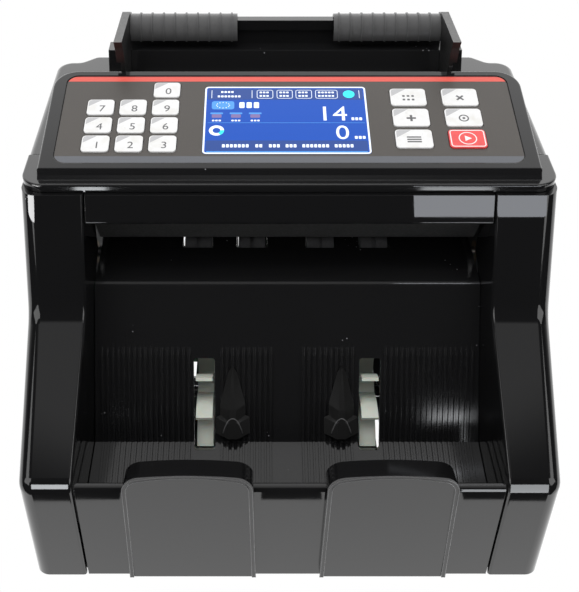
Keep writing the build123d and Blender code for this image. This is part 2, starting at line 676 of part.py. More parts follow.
# ---- shafts ---------------------------------------------------------------------------------
FIT = 0.02                # rollers and wheels on their own shaft
RUN = 0.05                # shafts in their bearings
SHAFT_SHORT = 105.0
SHAFT_LONG = 117.0
PULLEY_FLANGE = 0.8


def side_plane(axis, x):
    """Plane across a shaft: its local X runs backwards and its local Y upwards."""
    return Plane(origin=(x, back(axis[0]), axis[1]), x_dir=(0, 1, 0), z_dir=(1, 0, 0))


def make_shaft(name, axis, left, right, pulleys):
    """A turned shaft with its belt pulleys; a pulley is (x of its inner side, radius)."""
    with BuildPart() as shaft:
        with BuildSketch(side_plane(axis, left)):
            Circle(SHAFT_RADIUS)
        extrude(amount=right - left)
        for x, radius in pulleys:
            start = x if x > 0 else x - BELT_WIDE
            with BuildSketch(side_plane(axis, start)):
                Circle(radius)
            extrude(amount=BELT_WIDE)
            for flange_x in (start - PULLEY_FLANGE, start + BELT_WIDE):
                with BuildSketch(side_plane(axis, flange_x)):
                    Circle(radius + BELT_THICK + 0.9)
                extrude(amount=PULLEY_FLANGE)
        chamfer(edges().filter_by(GeomType.CIRCLE).filter_by(
            lambda e: abs(e.radius - SHAFT_RADIUS) < 0.01).sort_by(Axis.X)[-1], 0.4)
    save(shaft, name)


STACK_PULLEY = 15.0
FEED_TO_STACK = 10.0
FEED_TO_PICKUP = 9.0
PICKUP_PULLEY = 9.0
FEED_TO_TRANSPORT = 10.0
TRANSPORT_PULLEY = 8.0
FEED_FROM_MOTOR = 14.0
MOTOR_PULLEY = 7.0
make_shaft("stacking_shaft", STACK_AXIS, -SHAFT_SHORT, SHAFT_LONG, [(BELT_OUTER_X, STACK_PULLEY)])
make_shaft("transport_shaft", TRANSPORT_AXIS, -SHAFT_LONG, SHAFT_SHORT, [(-BELT_OUTER_X, TRANSPORT_PULLEY)])
make_shaft("pickup_shaft", PICKUP_AXIS, -SHAFT_LONG + 5, SHAFT_SHORT, [(-BELT_INNER_X, PICKUP_PULLEY)])
make_shaft("feed_shaft", FEED_AXIS, -SHAFT_LONG, SHAFT_LONG, [
    (BELT_INNER_X, FEED_FROM_MOTOR), (BELT_OUTER_X, FEED_TO_STACK),
    (-BELT_INNER_X, FEED_TO_PICKUP), (-BELT_OUTER_X, FEED_TO_TRANSPORT),
])


# ---- rollers and stacking wheels ------------------------------------------------------------
def make_rollers(name, axis, radius, groove):
    with BuildPart() as rollers:
        for x in ROLLER_XS:
            with BuildSketch(side_plane(axis, x - ROLLER_WIDE / 2)):
                Circle(radius)
                Circle(SHAFT_RADIUS + FIT, mode=Mode.SUBTRACT)
            extrude(amount=ROLLER_WIDE)
            with BuildSketch(side_plane(axis, x - 1)):
                Circle(radius + 1)
                Circle(radius - groove, mode=Mode.SUBTRACT)
            extrude(amount=2, mode=Mode.SUBTRACT)
    save(rollers, name)


make_rollers("feed_rollers", FEED_AXIS, FEED_RADIUS, 1.2)
make_rollers("pickup_rollers", PICKUP_AXIS, PICKUP_RADIUS, 1.0)
make_rollers("transport_rollers", TRANSPORT_AXIS, TRANSPORT_RADIUS, 1.0)

WHEEL_HUB = 12.0
WHEEL_FINGERS = 10
FINGER_FRONT = ((WHEEL_HUB - 2, -1.2), (23.0, 1.6), (WHEEL_RADIUS - 1.4, 8.6))
FINGER_BACK = ((WHEEL_RADIUS - 2.6, 9.8), (22.2, 3.6), (WHEEL_HUB - 2, 1.2))


def turned(points, degrees):
    """The same points turned about the origin of their sketch."""
    c = math.cos(math.radians(degrees))
    s = math.sin(math.radians(degrees))
    return [(x * c - y * s, x * s + y * c) for x, y in points]


def make_stacking_wheel(name, side):
    """Hub with thin swept-back fingers that catch each note and lay it down."""
    with BuildPart() as wheel:
        with BuildSketch(side_plane(STACK_AXIS, side * WHEEL_X - WHEEL_WIDE / 2)):
            Circle(WHEEL_HUB)
            for i in range(WHEEL_FINGERS):
                front = turned(FINGER_FRONT, i * 360 / WHEEL_FINGERS)
                rear = turned(FINGER_BACK, i * 360 / WHEEL_FINGERS)
                with BuildLine():
                    ThreePointArc(*front)
                    Line(front[2], rear[0])
                    ThreePointArc(*rear)
                    Line(rear[2], front[0])
                make_face()
            Circle(SHAFT_RADIUS + FIT, mode=Mode.SUBTRACT)
        extrude(amount=WHEEL_WIDE)
    save(wheel, name)


make_stacking_wheel("stacking_wheel_left", -1)
make_stacking_wheel("stacking_wheel_right", 1)


# ---- frame plates, bearings and crossbars ---------------------------------------------------
FRAME_OUTLINE = [
    (66, 8.5), (66, 54), (90, 94), (116, 118), (116, 128), (150, 132), (150, 168), (213, 168), (213, 8.5),
]
CROSSBARS = ((134, 72), (206, 92), (122, 18))
CROSSBAR_RADIUS = 4.0
MOTOR_HOLE = 9.0
SHAFT_AXES = (STACK_AXIS, TRANSPORT_AXIS, FEED_AXIS, PICKUP_AXIS)


def make_frame_plate(name, side):
    inner = FRAME_X if side > 0 else -FRAME_X - FRAME_THICK
    with BuildPart() as frame_plate:
        with BuildSketch(Plane.YZ.offset(inner)):
            with BuildLine():
                Polyline(*yz(FRAME_OUTLINE), close=True)
            make_face()
            fillet(vertices(), 4)
            for axis in SHAFT_AXES:
                with Locations((back(axis[0]), axis[1])):
                    Circle(BEARING_RADIUS, mode=Mode.SUBTRACT)
            if side > 0:
                with Locations((back(MOTOR_AXIS[0]), MOTOR_AXIS[1])):
                    Circle(MOTOR_HOLE, mode=Mode.SUBTRACT)
            with Locations((back(160), 88)):
                RectangleRounded(30, 34, 5, mode=Mode.SUBTRACT)
        extrude(amount=FRAME_THICK)
    save(frame_plate, name)


make_frame_plate("left_frame_plate", -1)
make_frame_plate("right_frame_plate", 1)

with BuildPart() as shaft_bearings:
    for axis in SHAFT_AXES:
        for side in (-1, 1):
            start = FRAME_X - 0.5 if side > 0 else -FRAME_X - FRAME_THICK - 0.5
            with BuildSketch(side_plane(axis, start)):
                Circle(BEARING_RADIUS - 0.02)
                Circle(SHAFT_RADIUS + RUN, mode=Mode.SUBTRACT)
            extrude(amount=FRAME_THICK + 1.0)
save(shaft_bearings, "shaft_bearings")

with BuildPart() as frame_crossbars:
    for axis in CROSSBARS:
        with BuildSketch(side_plane(axis, -FRAME_X)):
            Circle(CROSSBAR_RADIUS)
        extrude(amount=2 * FRAME_X)
save(frame_crossbars, "frame_crossbars")


# ---- hopper back plate and its rail ---------------------------------------------------------
EAR_HALF = FRAME_X - 0.1
with BuildPart() as hopper_back_plate:
    with BuildSketch(Plane.YZ.offset(-PLATE_HALF)):
        with BuildLine():
            Polyline(*yz([
                PLATE_FOOT, PLATE_TOP, (213, PLATE_TOP[1]), (213, 187.8), (204.4, 187.8),
                (186.2, PLATE_FOOT[1]),
            ]), close=True)
        make_face()
    extrude(amount=2 * PLATE_HALF)
    with BuildSketch(Plane.YZ.offset(-RAIL_HALF)):
        with BuildLine():
            Polyline(*yz([
                (211, 189), (211, 198.5), (209.5, 198.5), (209.5, 204), (214.5, 204), (214.5, 198.5),
                (213, 198.5), (213, 189),
            ]), close=True)
        make_face()
    extrude(amount=2 * RAIL_HALF)
    with BuildSketch(Plane.YZ.offset(-EAR_HALF)):
        with BuildLine():
            Polyline(*yz([PLATE_FOOT, (191.6, 166), (194, 166), (186.4, PLATE_FOOT[1])]), close=True)
        make_face()
    extrude(amount=2 * EAR_HALF)
    window_plane = Plane(origin=(0, back(PLATE_FOOT[0]), PLATE_FOOT[1]), x_dir=(1, 0, 0),
                         z_dir=(0, -(PLATE_TOP[1] - PLATE_FOOT[1]), PLATE_TOP[0] - PLATE_FOOT[0]))
    with BuildSketch(window_plane.offset(-6)):
        with Locations(*[(x, 15.5) for x in ROLLER_XS]):
            RectangleRounded(ROLLER_WIDE + 2, 19, 1)
    extrude(amount=9, mode=Mode.SUBTRACT)
save(hopper_back_plate, "hopper_back_plate")


# ---- hopper guides: ribbed sleeve, wing, tab and rack ---------------------------------------
SLEEVE_RIB_PITCH = 6.1
SLEEVE_RIB_WIDE = 0.8
SLEEVE_RIB_HIGH = 0.6
SLEEVE_START = 20.0       # degrees round the rail, from the rear over the top to the front
SLEEVE_END = 205.0
TAB_X = (62.0, 68.0)
RACK_REACH = 17.0
RACK_ROOT = 0.8           # from the pitch line to the bar behind the teeth
RACK_BACK = 2.2
WING_OUTLINE = [
    (170.0, 210.5), (212.0, 207.8), (218.0, 205.0), (220.2, 200.8), (204.3, 194.6), (201.0, 188.0),
    (183.0, 152.0), (178.6, 152.0), (175.6, 175.0), (175.2, 195.0), (172.4, 206.0),
]
WING_FLANGE = 2.4


def ring_point(radius, degrees):
    angle = math.radians(degrees)
    return (RAIL_CENTRE[0] + radius * math.cos(angle), RAIL_CENTRE[1] + radius * math.sin(angle))


def ring_sector(outer, inner):
    """Outline of a band round the rail, open at the bottom."""
    middle = (SLEEVE_START + SLEEVE_END) / 2
    o = yz([ring_point(outer, a) for a in (SLEEVE_START, middle, SLEEVE_END)])
    i = yz([ring_point(inner, a) for a in (SLEEVE_START, middle, SLEEVE_END)])
    ThreePointArc(o[0], o[1], o[2])
    Line(o[2], i[2])
    ThreePointArc(i[2], i[1], i[0])
    Line(i[0], o[0])


def rack_teeth(y_pitch, towards, x_from, x_to):
    """Outlines of straight-sided teeth along X; towards is the Y direction they point in."""
    pitch = math.pi * MODULE
    root_y = y_pitch - towards * 1.1 * MODULE
    tip_y = y_pitch + towards * 0.75 * MODULE
    return [
        [(x - 0.27 * pitch, root_y), (x - 0.1 * pitch, tip_y), (x + 0.1 * pitch, tip_y),
         (x + 0.27 * pitch, root_y)]
        for x in [i * pitch for i in range(math.ceil(x_from / pitch), math.floor(x_to / pitch) + 1)]
    ]


with BuildPart() as guide_shell:
    with BuildSketch(Plane.YZ.offset(SLEEVE_FROM_X)):
        with BuildLine():
            ring_sector(SLEEVE_OUTER, SLEEVE_INNER)
        make_face()
    extrude(amount=GUIDE_X - SLEEVE_FROM_X + 0.5)
    sleeve_rib_count = int((GUIDE_X - SLEEVE_FROM_X - 2) / SLEEVE_RIB_PITCH) + 1
    sleeve_rib_xs = [SLEEVE_FROM_X + 3 + i * SLEEVE_RIB_PITCH for i in range(sleeve_rib_count)]
    with BuildSketch(*[Plane.YZ.offset(x - SLEEVE_RIB_WIDE / 2) for x in sleeve_rib_xs]):
        with BuildLine():
            ring_sector(SLEEVE_OUTER + SLEEVE_RIB_HIGH, SLEEVE_OUTER - 0.3)
        make_face()
    extrude(amount=SLEEVE_RIB_WIDE)
    with BuildSketch(Plane.YZ.offset(GUIDE_X)):
        with BuildLine():
            Polyline(*yz(WING_OUTLINE), close=True)
        make_face()
        with Locations((back(RAIL_CENTRE[0]), RAIL_CENTRE[1])):
            Circle(SLEEVE_INNER, mode=Mode.SUBTRACT)
    extrude(amount=GUIDE_THICK)
    with BuildSketch(Plane.YZ.offset(GUIDE_X + GUIDE_THICK - 0.5)):
        with BuildLine():
            Polyline(*yz([
                WING_OUTLINE[0], WING_OUTLINE[1], (212.0, 206.2), (173.5, 208.4), (175.0, 199.0),
                (174.6, 197.0), WING_OUTLINE[-1],
            ]), close=True)
        make_face()
    extrude(amount=WING_FLANGE)
    with BuildSketch(Plane.YZ.offset(TAB_X[0])):
        with BuildLine():
            Polyline(*yz([
                (218.6, 200.6), (218.0, 203.2), (221.9, 201.5), (221.9, RACK_Z), (219.9, RACK_Z),
                (219.9, 199.0),
            ]), close=True)
        make_face()
    extrude(amount=TAB_X[1] - TAB_X[0])

with BuildPart() as guide_right:
    add(guide_shell.part)
    rack_y = back(PINION_BACK) - PITCH_RADIUS
    rack_bar = [
        (-RACK_REACH, rack_y - RACK_BACK), (TAB_X[1], rack_y - RACK_BACK), (TAB_X[1], back(221.9)),
        (TAB_X[0], back(221.9)), (TAB_X[0], rack_y - RACK_ROOT), (-RACK_REACH, rack_y - RACK_ROOT),
    ]
    with BuildSketch(Plane.XY.offset(RACK_Z)):
        for outline in [rack_bar] + rack_teeth(rack_y, 1, -RACK_REACH + 1, RACK_REACH + 9):
            with BuildLine():
                Polyline(*outline, close=True)
            make_face()
    extrude(amount=RACK_THICK)
save(guide_right, "guide_right")

with BuildPart() as guide_left:
    mirror(guide_shell.part, about=Plane.YZ)
    rack_y = back(PINION_BACK) + PITCH_RADIUS
    rack_bar = [
        (-TAB_X[1], rack_y + RACK_ROOT), (RACK_REACH, rack_y + RACK_ROOT),
        (RACK_REACH, rack_y + RACK_BACK), (-TAB_X[1], rack_y + RACK_BACK),
    ]
    with BuildSketch(Plane.XY.offset(RACK_Z)):
        for outline in [rack_bar] + rack_teeth(rack_y, -1, -RACK_REACH - 9, RACK_REACH - 1):
            with BuildLine():
                Polyline(*outline, close=True)
            make_face()
    extrude(amount=RACK_THICK)
save(guide_left, "guide_left")

PINION_BORE = 1.5
with BuildPart() as guide_pinion:
    pinion_plane = Plane(origin=(0, back(PINION_BACK), RACK_Z), x_dir=(1, 0, 0), z_dir=(0, 0, 1))
    with BuildSketch(pinion_plane):
        Circle(PITCH_RADIUS - 1.1 * MODULE)
        root = PITCH_RADIUS - 1.2 * MODULE
        tip = PITCH_RADIUS + 0.75 * MODULE
        half_tooth = math.pi * MODULE / 4
        flank = [(root, 1.05 * half_tooth), (PITCH_RADIUS, 0.74 * half_tooth), (tip, 0.36 * half_tooth)]
        tooth = [(x, -y) for x, y in flank] + flank[::-1]
        for i in range(PINION_TEETH):
            with BuildLine():
                Polyline(*turned(tooth, (i + 0.5) * 360 / PINION_TEETH), close=True)
            make_face()
    extrude(amount=RACK_THICK)
    with BuildSketch(pinion_plane):
        Circle(PINION_BORE)
    extrude(amount=-8)
save(guide_pinion, "guide_pinion")


# ---- retard block, upper guide --------------------------------------------------------------
PAD_XS = (-18.0, 18.0)
with BuildPart() as retard_holder:
    with BuildSketch(Plane.YZ.offset(-32)):
        with BuildLine():
            Polyline(*yz([
                (167.5, 130), (174.2, 130), (174.2, 143), (172.6, 151.5), (167.5, 151.5)
            ]), close=True)
        make_face()
    extrude(amount=64)
save(retard_holder, "retard_holder")

with BuildPart() as retard_pads:
    with BuildSketch(*[Plane.YZ.offset(x - 6) for x in PAD_XS]):
        with BuildLine():
            Polyline(*yz([(174.2, 130), (177.1, 132), (177.1, 136), (174.2, 143)]), close=True)
        make_face()
    extrude(amount=12)
save(retard_pads, "retard_pads")

with BuildPart() as upper_note_guide:
    with BuildSketch(Plane.YZ.offset(-PLATE_HALF)):
        with BuildLine():
            Polyline(*yz([
                (98.0, 160.0), (116.0, 128.5), (160.0, 126.5), (165.0, 131.0), (165.0, 148.0), (162.5, 148.0),
                (162.5, 132.0), (159.0, 129.0), (117.6, 131.0), (100.8, 160.6),
            ]), close=True)
        make_face()
        fillet([v for v in vertices() if abs(v.Y - 128.5) < 0.1], 5)
    extrude(amount=2 * PLATE_HALF)
save(upper_note_guide, "upper_note_guide")


# ---- motor, pulley and belts ----------------------------------------------------------------
MOTOR_RADIUS = 19.0
MOTOR_FROM_X = 36.0
STUB_DEEP = 6.0
with BuildPart() as drive_motor:
    with BuildSketch(side_plane(MOTOR_AXIS, MOTOR_FROM_X)):
        Circle(MOTOR_RADIUS)
    extrude(amount=FRAME_X - MOTOR_FROM_X)
    fillet(faces().sort_by(Axis.X)[0].edges(), 3)
    with BuildSketch(side_plane(MOTOR_AXIS, FRAME_X - STUB_DEEP - 0.5)):
        Circle(SHAFT_RADIUS + RUN)
    extrude(amount=STUB_DEEP + 1, mode=Mode.SUBTRACT)
save(drive_motor, "drive_motor")

make_shaft("motor_pulley", MOTOR_AXIS, FRAME_X - STUB_DEEP, BELT_INNER_X + BELT_WIDE + 2, [
    (BELT_INNER_X, MOTOR_PULLEY)])

BELTS = (                 # x of the inner side, first axis and pulley, second axis and pulley
    (BELT_INNER_X, MOTOR_AXIS, MOTOR_PULLEY, FEED_AXIS, FEED_FROM_MOTOR),
    (BELT_OUTER_X, FEED_AXIS, FEED_TO_STACK, STACK_AXIS, STACK_PULLEY),
    (-BELT_INNER_X, FEED_AXIS, FEED_TO_PICKUP, PICKUP_AXIS, PICKUP_PULLEY),
    (-BELT_OUTER_X, FEED_AXIS, FEED_TO_TRANSPORT, TRANSPORT_AXIS, TRANSPORT_PULLEY),
)


def belt_tangents(axis_a, radius_a, axis_b, radius_b, grow):
    """Corners of the quadrilateral between the common tangents of two pulleys."""
    a = (back(axis_a[0]), axis_a[1])
    b = (back(axis_b[0]), axis_b[1])
    along = math.atan2(b[1] - a[1], b[0] - a[0])
    lean = math.acos((radius_a - radius_b) / math.dist(a, b))
    corners = []
    for turn, centre, radius in ((1, a, radius_a), (1, b, radius_b), (-1, b, radius_b), (-1, a, radius_a)):
        reach = radius + grow
        angle = along + turn * lean
        corners.append((centre[0] + reach * math.cos(angle), centre[1] + reach * math.sin(angle)))
    return corners


BELT_LAYERS = (           # grow, trim of the width, and whether the layer is added or cut away
    (BELT_AIR + BELT_THICK, 0.3, Mode.ADD), (BELT_AIR, 0.0, Mode.SUBTRACT),
)
with BuildPart() as drive_belts:
    for grow, trim, layer_mode in BELT_LAYERS:
        for x, axis_a, radius_a, axis_b, radius_b in BELTS:
            start = x + trim if x > 0 else x - BELT_WIDE + trim
            with BuildSketch(Plane.YZ.offset(start)):
                for axis, radius in ((axis_a, radius_a), (axis_b, radius_b)):
                    with Locations((back(axis[0]), axis[1])):
                        Circle(radius + grow)
                with BuildLine():
                    Polyline(*belt_tangents(axis_a, radius_a, axis_b, radius_b, grow), close=True)
                make_face()
            extrude(amount=BELT_WIDE - 2 * trim, mode=layer_mode)
save(drive_belts, "drive_belts")


# ---- control board --------------------------------------------------------------------------
with BuildPart() as main_board:
    with BuildSketch(Plane.XY.offset(18)):
        with Locations((-44, back(172))):
            RectangleRounded(92, 64, 2)
    extrude(amount=1.6)
    with BuildSketch(Plane.XY.offset(FOOT_HEIGHT + TRAY_FLOOR)):
        with Locations((-44, back(172))):
            with GridLocations(84, 56, 2, 2):
                Circle(3)
    extrude(amount=18 - FOOT_HEIGHT - TRAY_FLOOR)
    with BuildSketch(Plane.XY.offset(19.6)):
        with Locations((-70, back(184))):
            Rectangle(30, 26)
        with Locations((-36, back(190))):
            Rectangle(10, 20)
        with Locations((-20, back(160))):
            Rectangle(14, 14)
    extrude(amount=16)
    with BuildSketch(Plane.XY.offset(19.6)):
        with Locations((-60, back(156)), (-42, back(156))):
            Circle(5)
    extrude(amount=20)
save(main_board, "main_board")


# ---- mains inlet and switch -----------------------------------------------------------------
RECESSED_BACK = BULGE_BACK - RECESS_DEEP
with BuildPart() as power_inlet:
    with BuildSketch(Plane.XZ.offset(-back(RECESSED_BACK))):
        with Locations((INLET_X, INLET_Z)):
            RectangleRounded(30.4, 23.4, 2.5)
        with Locations((SWITCH_X, INLET_Z)):
            RectangleRounded(16, 22, 1.5)
    extrude(amount=-RECESS_DEEP + 0.1)
    with BuildSketch(Plane.XZ.offset(-back(RECESSED_BACK))):
        with Locations((INLET_X, INLET_Z)):
            RectangleRounded(INLET_CUT[0] - 0.3, INLET_CUT[1] - 0.3, 2)
        with Locations((SWITCH_X, INLET_Z)):
            RectangleRounded(SWITCH_CUT[0] - 0.3, SWITCH_CUT[1] - 0.3, 1)
    extrude(amount=15)
    with BuildSketch(Plane.XZ.offset(-back(BULGE_BACK))):
        with Locations((INLET_X, INLET_Z)):
            RectangleRounded(24, 16.6, 3)
            with Locations((0, -2.2), (-7, 2.2), (7, 2.2)):
                Rectangle(2, 4, mode=Mode.SUBTRACT)
        with Locations((SWITCH_X, INLET_Z)):
            Rectangle(10.4, 16.6)
    extrude(amount=14, mode=Mode.SUBTRACT)
save(power_inlet, "power_inlet")

ROCKER_TILT = 7.0
ROCKER_HALF = 7.4
ROCKER_REACH = 4.6
ROCKER_PIVOT_BACK = BULGE_BACK - 6.0
ROCKER_WIDE = 9.6
ROCKER_PIN_RADIUS = 1.2
ROCKER_PIN_HALF = 5.1
with BuildPart() as power_rocker:
    with BuildSketch(Plane.YZ.offset(SWITCH_X - ROCKER_WIDE / 2)):
        lean = ROCKER_HALF * math.tan(math.radians(ROCKER_TILT))
        with BuildLine():
            Polyline(*[(back(ROCKER_PIVOT_BACK) + d, INLET_Z + z) for d, z in (
                (-2, -ROCKER_HALF), (ROCKER_REACH + lean, -ROCKER_HALF), (ROCKER_REACH, 0),
                (ROCKER_REACH - 3 * lean, ROCKER_HALF), (-2, ROCKER_HALF), (-4, 0))], close=True)
        make_face()
    extrude(amount=ROCKER_WIDE)
    with BuildSketch(Plane.YZ.offset(SWITCH_X - ROCKER_PIN_HALF)):
        with Locations((back(ROCKER_PIVOT_BACK), INLET_Z)):
            Circle(ROCKER_PIN_RADIUS)
    extrude(amount=2 * ROCKER_PIN_HALF)
save(power_rocker, "power_rocker")


# ---- feet and screws ------------------------------------------------------------------------
FOOT_SPOTS = [(x, back(d)) for x in (-98, 98) for d in (22, 200)]
SCREW_SPOTS = [(x, back(d)) for x in (-80, 80) for d in (40, 125, 208)]
with BuildPart() as rubber_feet:
    with BuildSketch(Plane.XY.offset(FOOT_HEIGHT)):
        with Locations(*FOOT_SPOTS):
            Circle(9)
    extrude(amount=-FOOT_HEIGHT, taper=8)
save(rubber_feet, "rubber_feet")

with BuildPart() as case_screws:
    with BuildSketch(Plane.XY.offset(FOOT_HEIGHT)):
        with Locations(*SCREW_SPOTS):
            Circle(3.2)
    extrude(amount=-1.6)
    chamfer(edges().group_by(Axis.Z)[0], 0.5)
save(case_screws, "case_screws")
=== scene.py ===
"""Looks of the banknote counting machine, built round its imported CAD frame."""

import json
import math

import bmesh
import bpy
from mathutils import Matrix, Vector
from mathutils.bvhtree import BVHTree


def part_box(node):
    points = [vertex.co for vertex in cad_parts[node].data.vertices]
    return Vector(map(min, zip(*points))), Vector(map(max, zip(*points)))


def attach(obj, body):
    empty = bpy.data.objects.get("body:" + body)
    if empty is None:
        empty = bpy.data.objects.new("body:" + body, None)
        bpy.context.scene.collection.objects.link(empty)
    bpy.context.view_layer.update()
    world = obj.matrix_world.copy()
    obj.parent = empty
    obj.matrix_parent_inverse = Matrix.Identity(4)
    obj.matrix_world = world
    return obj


MM = 0.001
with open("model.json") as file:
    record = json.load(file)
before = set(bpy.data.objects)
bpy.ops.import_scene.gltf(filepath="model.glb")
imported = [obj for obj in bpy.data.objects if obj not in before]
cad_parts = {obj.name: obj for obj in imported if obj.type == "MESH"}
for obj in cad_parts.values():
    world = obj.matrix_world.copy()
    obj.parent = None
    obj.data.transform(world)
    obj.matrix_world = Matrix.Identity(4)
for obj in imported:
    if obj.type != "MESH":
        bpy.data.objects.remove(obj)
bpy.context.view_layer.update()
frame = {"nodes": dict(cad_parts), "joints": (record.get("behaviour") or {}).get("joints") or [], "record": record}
NODES = frame["nodes"]
JOINTS = {joint["name"]: joint for joint in frame["joints"]}

# ---- directions of the tilted console panel, from the way its keys travel ------------------
PANEL_UP = -Vector(JOINTS["key_0_press"]["axis"]).normalized()
PANEL_X = Vector((1, 0, 0))
PANEL_ALONG = PANEL_UP.cross(PANEL_X)


def reach(node, direction):
    """Lowest and highest place of a node along a direction."""
    places = [v.co.dot(direction) for v in NODES[node].data.vertices]
    return min(places), max(places)


def panel_rect(node):
    """Centre x, centre along the panel, width, depth and top height of a node on the panel."""
    left, right = reach(node, PANEL_X)
    front, rear = reach(node, PANEL_ALONG)
    top = reach(node, PANEL_UP)[1]
    return (left + right) / 2, (front + rear) / 2, right - left, rear - front, top


# ---- materials ---------------------------------------------------------------------------
NOISE_LOW, NOISE_HIGH = 0.3, 0.7      # nearly all values of a noise lie between these


class Finish:
    """One material with a Principled shader, and short calls that wire its nodes."""

    def __init__(self, name, color, roughness, **sockets):
        self.material = bpy.data.materials.new(name)
        self.material.use_nodes = True
        self.tree = self.material.node_tree
        self.shader = self.tree.nodes["Principled BSDF"]
        self.shader.inputs["Base Color"].default_value = (*color, 1)
        self.shader.inputs["Roughness"].default_value = roughness
        for socket, value in sockets.items():
            self.shader.inputs[socket.replace("_", " ")].default_value = value
        self.place = self.node("ShaderNodeTexCoord").outputs["Object"]

    def node(self, kind, **inputs):
        made = self.tree.nodes.new(kind)
        for name, value in inputs.items():
            socket = made.inputs[name.replace("_", " ")]
            if isinstance(value, bpy.types.NodeSocket):
                self.tree.links.new(value, socket)
            else:
                socket.default_value = value
        return made

    def noise(self, scale, detail=3.0, stretch=(1, 1, 1), distortion=0.0):
        """Noise over the surface; stretch draws it out along an axis."""
        mapped = self.node("ShaderNodeMapping", Vector=self.place, Scale=stretch)
        made = self.node("ShaderNodeTexNoise", Vector=mapped.outputs["Vector"], Scale=scale,
                         Detail=detail, Distortion=distortion)
        return made.outputs["Fac"]

    def remap(self, value, from_low, from_high, to_low, to_high):
        made = self.tree.nodes.new("ShaderNodeMapRange")
        made.clamp = True
        self.tree.links.new(value, made.inputs["Value"])
        for name, number in (("From Min", from_low), ("From Max", from_high),
                             ("To Min", to_low), ("To Max", to_high)):
            made.inputs[name].default_value = number
        return made.outputs["Result"]

    def math(self, operation, a, b):
        made = self.tree.nodes.new("ShaderNodeMath")
        made.operation = operation
        for socket, value in zip(made.inputs, (a, b)):
            if isinstance(value, bpy.types.NodeSocket):
                self.tree.links.new(value, socket)
            else:
                socket.default_value = value
        return made.outputs["Value"]

    def color(self, factor, low, high):
        """Base colour between two colours, by a factor."""
        made = self.tree.nodes.new("ShaderNodeMix")
        made.data_type = "RGBA"
        self.tree.links.new(factor, made.inputs["Factor"])
        for socket in made.inputs:
            if socket.type == "RGBA" and socket.name in ("A", "B"):
                socket.default_value = (*(low if socket.name == "A" else high), 1)
        result = [s for s in made.outputs if s.type == "RGBA"][0]
        self.tree.links.new(result, self.shader.inputs["Base Color"])

    def rough(self, value, low, high):
        """Roughness between two values, by a noise."""
        spread = self.remap(value, NOISE_LOW, NOISE_HIGH, low, high)
        self.tree.links.new(spread, self.shader.inputs["Roughness"])

    def bump(self, height, strength, depth, edge=0.0):
        """Fine relief, over edges that are rounded by a small radius."""
        made = self.node("ShaderNodeBump", Strength=strength, Distance=depth, Height=height)
        if edge:
            rounded_edge = self.node("ShaderNodeBevel", Radius=edge)
            self.tree.links.new(rounded_edge.outputs["Normal"], made.inputs["Normal"])
        self.tree.links.new(made.outputs["Normal"], self.shader.inputs["Normal"])


SPECK_SCALE = 420                     # cells per metre, each with at most one speck
SPECK_CORE, SPECK_EDGE = 0.10, 0.16   # radii of a speck, as shares of its cell
DUST_GREY = (0.22, 0.22, 0.23)
EDGE_ROUND = 0.3 * MM                 # how round a sharp edge looks on a polished cover
WIPED_ALONG = (1, 0.04, 0.4)          # stretch that turns a noise into wiping scratches


def specks(finish, share):
    """Factor that is 1 on a few small dust specks and 0 elsewhere."""
    cells = finish.node("ShaderNodeTexVoronoi", Vector=finish.place, Scale=SPECK_SCALE)
    spot = finish.remap(cells.outputs["Distance"], SPECK_CORE, SPECK_EDGE, 1.0, 0.0)
    patches = finish.noise(SPECK_SCALE / 6)
    patchy = finish.remap(patches, 1 - share, 1 - share + 0.02, 0.0, 1.0)
    return finish.math("MULTIPLY", spot, patchy)


def polished_black(name, level, rough, dust):
    """Mirror-polished ABS with orange peel, faint haze, wiping scratches and dust."""
    black = (level, level, level * 1.06)
    finish = Finish(name, black, rough[0])
    finish.color(specks(finish, dust), black, DUST_GREY)
    finish.rough(finish.noise(scale=26, detail=4), *rough)
    peel = finish.noise(scale=240, detail=1)
    wiping = finish.noise(scale=900, detail=2, stretch=WIPED_ALONG, distortion=0.4)
    scratches = finish.remap(wiping, 0.66, 0.72, 0.0, 0.5)
    relief = finish.math("SUBTRACT", peel, scratches)
    finish.bump(relief, strength=0.012, depth=0.2 * MM, edge=EDGE_ROUND)
    return finish.material


def grained_plastic(name, low, high, rough, grain, depth, glare=0.5):
    """Moulded plastic with a fine spark-eroded grain."""
    finish = Finish(name, low, rough[0], Specular_IOR_Level=glare)
    finish.color(finish.noise(scale=34, detail=5), low, high)
    finish.rough(finish.noise(scale=grain * 0.4, detail=2), *rough)
    fine = finish.noise(scale=grain, detail=3)
    coarse = finish.noise(scale=grain * 0.3, detail=2)
    finish.bump(finish.math("ADD", fine, coarse), strength=0.35, depth=depth)
    return finish.material


def smooth_cap(name, color, worn):
    """Keycap with a slight satin and a little handling grime."""
    finish = Finish(name, color, 0.32, Coat_Weight=0.15, Coat_Roughness=0.12)
    grime = finish.remap(finish.noise(scale=150, detail=5), 0.5, 0.75, 0.0, 1.0)
    finish.color(grime, color, worn)
    finish.rough(finish.noise(scale=420, detail=3), 0.26, 0.40)
    finish.bump(finish.noise(scale=2600, detail=2), strength=0.15, depth=0.03 * MM)
    return finish.material


def ink(name, color, roughness=0.45, glow=0.0):
    """Screen-printed ink, a little uneven; a glow, where given, is painted light that brightens the ink."""
    finish = Finish(name, color, roughness)
    finish.shader.inputs["Emission Color"].default_value = (*color, 1)
    finish.shader.inputs["Emission Strength"].default_value = glow
    thin = [c * 0.92 for c in color]
    thick = [min(1, c * 1.05) for c in color]
    finish.color(finish.noise(scale=900, detail=4), thin, thick)
    finish.bump(finish.noise(scale=3500, detail=2), strength=0.12, depth=0.02 * MM)
    return finish.material


